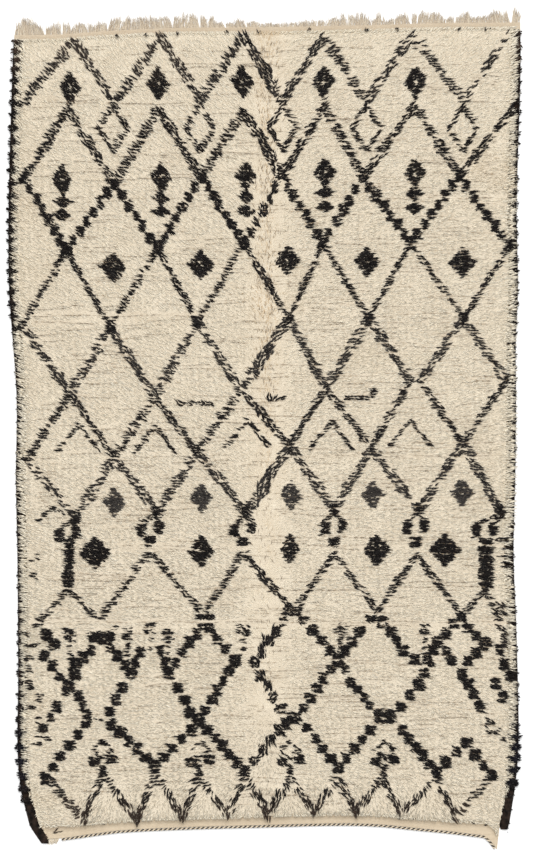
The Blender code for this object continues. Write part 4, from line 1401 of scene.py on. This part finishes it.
# %% Heading and fringe
# How far the fringe reaches: x, mm.
FRINGE = np.array([
    (-0.880, 58), (-0.800, 50), (-0.765, 26), (-0.715, 50), (-0.676, 28), (-0.650, 48), (-0.600, 24),
    (-0.560, 45), (-0.440, 45), (-0.305, 52), (-0.210, 46), (-0.160, 20), (-0.080, 30), (0.000, 14),
    (0.130, 17), (0.260, 34), (0.340, 44), (0.372, 18), (0.396, 50), (0.430, 12), (0.515, 50), (0.590, 43),
    (0.640, 14), (0.705, 44), (0.735, 20), (0.820, 44), (0.875, 46), (0.895, 36),
])
HEADING_WIDTH = 20 * MM
HEADING_PICKS = 13
HEADING_LAP = 9 * MM
FRINGE_ENDS = 2600
FRINGE_GIRTH = 1.1 * MM
fringe_left, fringe_right = (corner.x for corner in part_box("head_fringe"))


def fringe():
    """The warp ends at the head, gathered in locks."""
    width = fringe_right - fringe_left
    edges = [0.0]
    while edges[-1] < width:
        edges.append(edges[-1] + chance.uniform(0.014, 0.036))
    edges = np.array(edges) * width / edges[-1]
    across_head = np.sort(chance.uniform(0.001, width - 0.001, FRINGE_ENDS))
    lock = np.clip(np.searchsorted(edges, across_head) - 1, 0, len(edges) - 2)
    middle = 0.5 * (edges[lock] + edges[lock + 1])
    lean = chance.normal(0, 0.20, len(edges))[lock]
    gather = chance.uniform(0.0, 0.28, len(edges))[lock]
    tall = chance.uniform(0.75, 1.15, len(edges))[lock]
    x = fringe_left + across_head
    y = along(cloth["head"], x) + HEADING_WIDTH - 6 * MM
    reach = read_off(FRINGE, x) * MM * tall * chance.uniform(0.65, 1.15, FRINGE_ENDS)
    sway = lean * reach + (middle - across_head) * gather + chance.normal(0, 0.0042, FRINGE_ENDS)
    way = np.stack([sway, reach + 6 * MM, np.full(FRINGE_ENDS, -1.6 * MM)], 1)
    points = np.stack([x, y, chance.uniform(1.4, 2.9, FRINGE_ENDS) * MM], 1)
    dye = between(WARP_DARK, WARP_LIGHT, chance.uniform(0, 1, FRINGE_ENDS))
    girth = FRINGE_GIRTH * chance.uniform(0.7, 1.3, FRINGE_ENDS)
    number = {"number": np.arange(FRINGE_ENDS)}
    return grow("warp_fringe", loose, warp_wool, points, way, girth, dye, number, Joints=3, Kink=0.014)


def heading():
    """The narrow woven heading that holds the warp ends."""
    picks = np.linspace(0, 1, HEADING_PICKS)
    ridges = np.where(np.arange(HEADING_PICKS) % 2, 0.45 * MM, 0.0)

    def placing(u, v):
        x = fringe_left + (fringe_right - fringe_left) * u
        return x, along(cloth["head"], x) - HEADING_LAP + (HEADING_WIDTH + HEADING_LAP) * v

    def ridged(u, v):
        return 3.6 * MM + np.interp(v, picks, ridges)

    weave = woven_finish("woven heading", (0.72, 0.61, 0.46), (0.45, 0.35, 0.24), 3.4 * MM)
    return slab("head_heading", np.linspace(0, 1, 220), picks, placing, ridged, weave)


head_band = heading()
head_fringe = fringe()

# %% [markdown]
# ## Rows that part
#
# Where a row of pile parts, the brown weft and the shaded roots show as a fine dark line. Thin brown yarn
# laid along each parting, a little below the tips, gives these lines: it is the weft, and its darker browns
# are painted shade of the roots. The tufts on both sides half cover it. Short pieces down the fold are partly
# weft and partly painted shade in its crease.

# %% Weft and painted shade in the partings
WEFT_DROP = 1.9 * MM  # how far the showing yarn lies below the tips
WEFT_PIECE = 26 * MM
FOLD_WEFT_AND_SHADE = 800


def weft_and_shade_in_partings():
    """Thin brown yarn along every parting, and short pieces down the fold: weft, with painted shade in its
    darker browns.
    """
    places, ways = [], []
    for row in PARTINGS:
        x = np.arange(row.start, row.end, WEFT_PIECE * 0.8) + chance.uniform(0, 0.01)
        x = x[(np.abs(x) < HALF_WIDTH) & (chance.uniform(0, 1, len(x)) < 0.85)]
        y = parting_line(row, x)
        places.append(np.stack([x, y], 1))
        ways.append(np.stack([WEFT_PIECE + 0 * x, parting_line(row, x + WEFT_PIECE) - y, 0 * x], 1))
    # Short brown pieces along the fold: partly weft where it parts, partly painted shade in its crease.
    fold_y = chance.uniform(-1.0, 1.38, FOLD_WEFT_AND_SHADE)
    fold_y = fold_y[chance.uniform(0, 1, FOLD_WEFT_AND_SHADE) < 0.25 + 0.75 * (fold_y > 0.25)]
    fold_x = FOLD_X + chance.normal(0, 0.024, len(fold_y))
    places.append(np.stack([fold_x, fold_y], 1))
    ways.append(np.stack([chance.normal(0, 0.006, len(fold_y)), 0.018 + 0 * fold_y, 0 * fold_y], 1))
    places, ways = np.concatenate(places), np.concatenate(ways)
    left = across(cloth["left"], places[:, 1])
    u = (places[:, 0] - left) / (across(cloth["right"], places[:, 1]) - left)
    v = along_share(places[:, 1])
    inside = (u > 0.02) & (u < 0.965) & (v > 0.02) & (v < 0.985)
    points = np.column_stack([places, pile_height(u, v) - WEFT_DROP])[inside]
    girth = 0.8 * MM * chance.uniform(0.6, 1.4, len(points))
    # The darker browns paint the shade of the parted roots.
    dye = between(WEFT_DARK_AND_SHADE, WEFT_LIGHT, chance.uniform(0, 1, len(points)))
    return grow("weft_and_shade_in_partings", plant, warp_wool, points, ways[inside], girth, dye, Seed=5, Roll=0.2)


weft_and_shade_lines = weft_and_shade_in_partings()

# %% [markdown]
# ## Twined cord
#
# Two yarns, one black and one ivory, are twisted round each other along the foot edge, so the cord shows
# slanting dashes. A round section set off from the cord's middle and turned steadily along its route gives
# one yarn, and half a turn later the other.

# %% Twined cord
CORD_TURN = 16.4 * MM
BLACK_YARN = 2.5 * MM
IVORY_YARN = 2.7 * MM
CORD_OFFSET = 1.5 * MM
CORD_HEIGHT = 4.3 * MM
CORD_FROM_EDGE = 4.9 * MM
ROUTE_POINTS = 260


def cord_route():
    """Points along the middle of the cord: the foot edge, set off by the cord's own radius."""
    low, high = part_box("twined_cord")
    x = np.linspace(low.x + 3 * MM, high.x - 2 * MM, ROUTE_POINTS)
    edge = np.stack([x, along(cloth["foot"], x)], 1)
    way = np.gradient(edge, axis=0)
    way /= np.linalg.norm(way, axis=1)[:, None]
    points = edge + np.stack([way[:, 1], -way[:, 0]], 1) * CORD_FROM_EDGE
    return np.column_stack([points, np.full(ROUTE_POINTS, CORD_HEIGHT)])


def twining_tree():
    """Turns an offset round section along a route."""
    sizes = {"Step": 2 * MM, "Turn": CORD_TURN, "Phase": 0.0, "Yarn": BLACK_YARN, "Offset": CORD_OFFSET}
    tree, given = new_tree("twined yarn", **sizes)
    line = node(tree, "GeometryNodeMeshToCurve", {"Mesh": given})
    steps = {"Curve": line, "Length": given.output("Step")}
    even = node(tree, "GeometryNodeResampleCurve", steps, mode="LENGTH")
    raised = node(tree, "GeometryNodeSetCurveNormal", {"Curve": even}, mode="Z_UP")
    length = node(tree, "GeometryNodeSplineParameter", output="Length")
    angle = given.output("Phase") - length / given.output("Turn") * (2 * math.pi)
    twisted = node(tree, "GeometryNodeSetCurveTilt", {"Curve": raised, "Tilt": angle})
    round_yarn = {"Resolution": 7, "Radius": given.output("Yarn")}
    section = node(tree, "GeometryNodeCurvePrimitiveCircle", round_yarn)
    shift = vector(tree, given.output("Offset"), 0.0, 0.0)
    moved = node(tree, "GeometryNodeTransform", {"Geometry": section, "Translation": shift})
    sweep = {"Curve": twisted, "Profile Curve": moved, "Fill Caps": True}
    return finish_tree(tree, node(tree, "GeometryNodeCurveToMesh", sweep), given)


twine = twining_tree()


def yarn(colour, phase, radius, light, dark):
    """One yarn of the cord, its fibres slanting, worn paler and darker by turns."""

    def look(tree, place):
        fibres = noise(tree, place, 700.0, 3.0)
        return blend(tree, fibres * 0.6 + noise(tree, place, 22.0) * 0.5, dark, light), fibres

    wool = finish(f"{colour} yarn", look, (0.5, 0.5 * MM), 0.85, 0.2)
    base = bpy.data.meshes.new(f"{colour} yarn route")
    base.from_pydata(cord_route(), [(k, k + 1) for k in range(ROUTE_POINTS - 1)], [])
    return run(twine, f"twined_{colour}_yarn", base, Wool=wool, Phase=phase, Yarn=radius)


black_yarn = yarn("black", 0.0, BLACK_YARN, (0.022, 0.015, 0.012), (0.007, 0.005, 0.0045))
ivory_yarn = yarn("ivory", math.pi, IVORY_YARN, (0.76, 0.66, 0.50), (0.50, 0.40, 0.28))

# %% [markdown]
# ## Frayed corner and stray knots
#
# At the foot's left corner the cord has let go, and a small tuft of warps has come loose. Single dark knots
# stand in the ivory wool at the head and in the flat weave at the foot.

# %% Corner tuft and flecks
# Single dark knots: x, y, the way each slants and its half length.
FLECKS = np.array([
    (-0.515, 1.386, -0.9, 0.005), (-0.417, 1.393, 0.9, 0.004), (-0.305, 1.397, 1.3, 0.004),
    (-0.133, 1.404, -1.2, 0.004), (-0.025, 1.404, 1.2, 0.004), (0.158, 1.408, 1.1, 0.004),
    (0.354, 1.408, 1.0, 0.005), (0.462, 1.411, 0.8, 0.004), (0.679, 1.411, 0.7, 0.004),
    (0.774, 1.411, 0.7, 0.004), (-0.731, -1.407, 0.5, 0.008), (-0.766, -1.424, 0.3, 0.004),
    (-0.570, -1.375, -0.2, 0.005), (0.472, -1.361, 0.0, 0.008), (0.514, -1.361, 0.1, 0.006),
    (0.735, -1.375, 0.2, 0.005), (0.777, -1.382, 0.4, 0.006),
])
FLECK_TUFTS = 6
FLECK_GIRTH = 2.1 * MM
CORNER_STRANDS = 70


def flecks():
    """The stray dark knots."""
    middle_x, middle_y, slant, half = np.repeat(FLECKS, FLECK_TUFTS, axis=0).T
    number = len(half)
    x = middle_x + chance.normal(0, 1.0, number) * half
    y = middle_y + chance.normal(0, 0.003, number) - 0.008 * (middle_y > 0)
    long = 2.6 * half * chance.uniform(0.7, 1.2, number)
    angle = slant + chance.normal(0, 0.3, number)
    way = np.stack([long * np.cos(angle), long * np.sin(angle), np.full(number, 0.8 * MM)], 1)
    on_pile = pile_height((x + 0.87) / 1.74, along_share(y)) + 2.0 * MM
    height = np.where(y > 0, on_pile, GROUND_THICKNESS + 0.8 * MM)
    points = np.stack([x - way[:, 0] / 2, y - way[:, 1] / 2, height], 1)
    dye = dark_dye(x, y, np.full(number, 0.02))
    return grow("dark_flecks", plant, dark_wool, points, way, np.full(number, FLECK_GIRTH), dye)


def corner():
    """Loose warp ends at the corner."""
    low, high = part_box("corner_tuft")
    share = chance.uniform(0, 1, CORNER_STRANDS)
    x = low.x + (high.x - low.x) * share
    y = along(cloth["foot"], x) - chance.uniform(0.5, 3, CORNER_STRANDS) * MM
    reach = chance.uniform(14, 25, CORNER_STRANDS) * MM * (1 - 0.3 * share)
    sway = (0.35 - 0.9 * share) * 0.012 + chance.normal(0, 0.002, CORNER_STRANDS)
    way = np.stack([sway, -reach, np.full(CORNER_STRANDS, -1.2 * MM)], 1)
    points = np.stack([x, y, chance.uniform(1.4, 2.8, CORNER_STRANDS) * MM], 1)
    dye = between(CORNER_DARK, CORNER_LIGHT, chance.uniform(0, 1, CORNER_STRANDS))
    girth = 1.0 * MM * chance.uniform(0.7, 1.3, CORNER_STRANDS)
    number = {"number": np.arange(CORNER_STRANDS) + 0.5}
    return grow("corner_loose_ends", loose, warp_wool, points, way, girth, dye, number)


dark_flecks = flecks()
loose_corner = corner()

# %% [markdown]
# ## Riding on the body
#
# Each new piece rides on the rug's one body and stands for its solid.

# %% Riding and replacing
for piece in [*pile_pieces, bed, weft_and_shade_lines, dark_flecks, ground]:
    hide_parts("pile_field")
for side, pieces in side_pieces.items():
    for piece in pieces:
        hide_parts(f"{side}_selvedge")
for piece in (head_band, head_fringe):
    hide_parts("head_fringe")
for piece in (black_yarn, ivory_yarn):
    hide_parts("twined_cord")
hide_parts("corner_tuft")
on_cloth = [*pile_pieces, bed, weft_and_shade_lines, dark_flecks, *side_pieces["left"], *side_pieces["right"]]
on_cloth += [head_band, head_fringe, black_yarn, ivory_yarn, loose_corner]
for piece in [ground, *on_cloth]:
    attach(piece, "root")
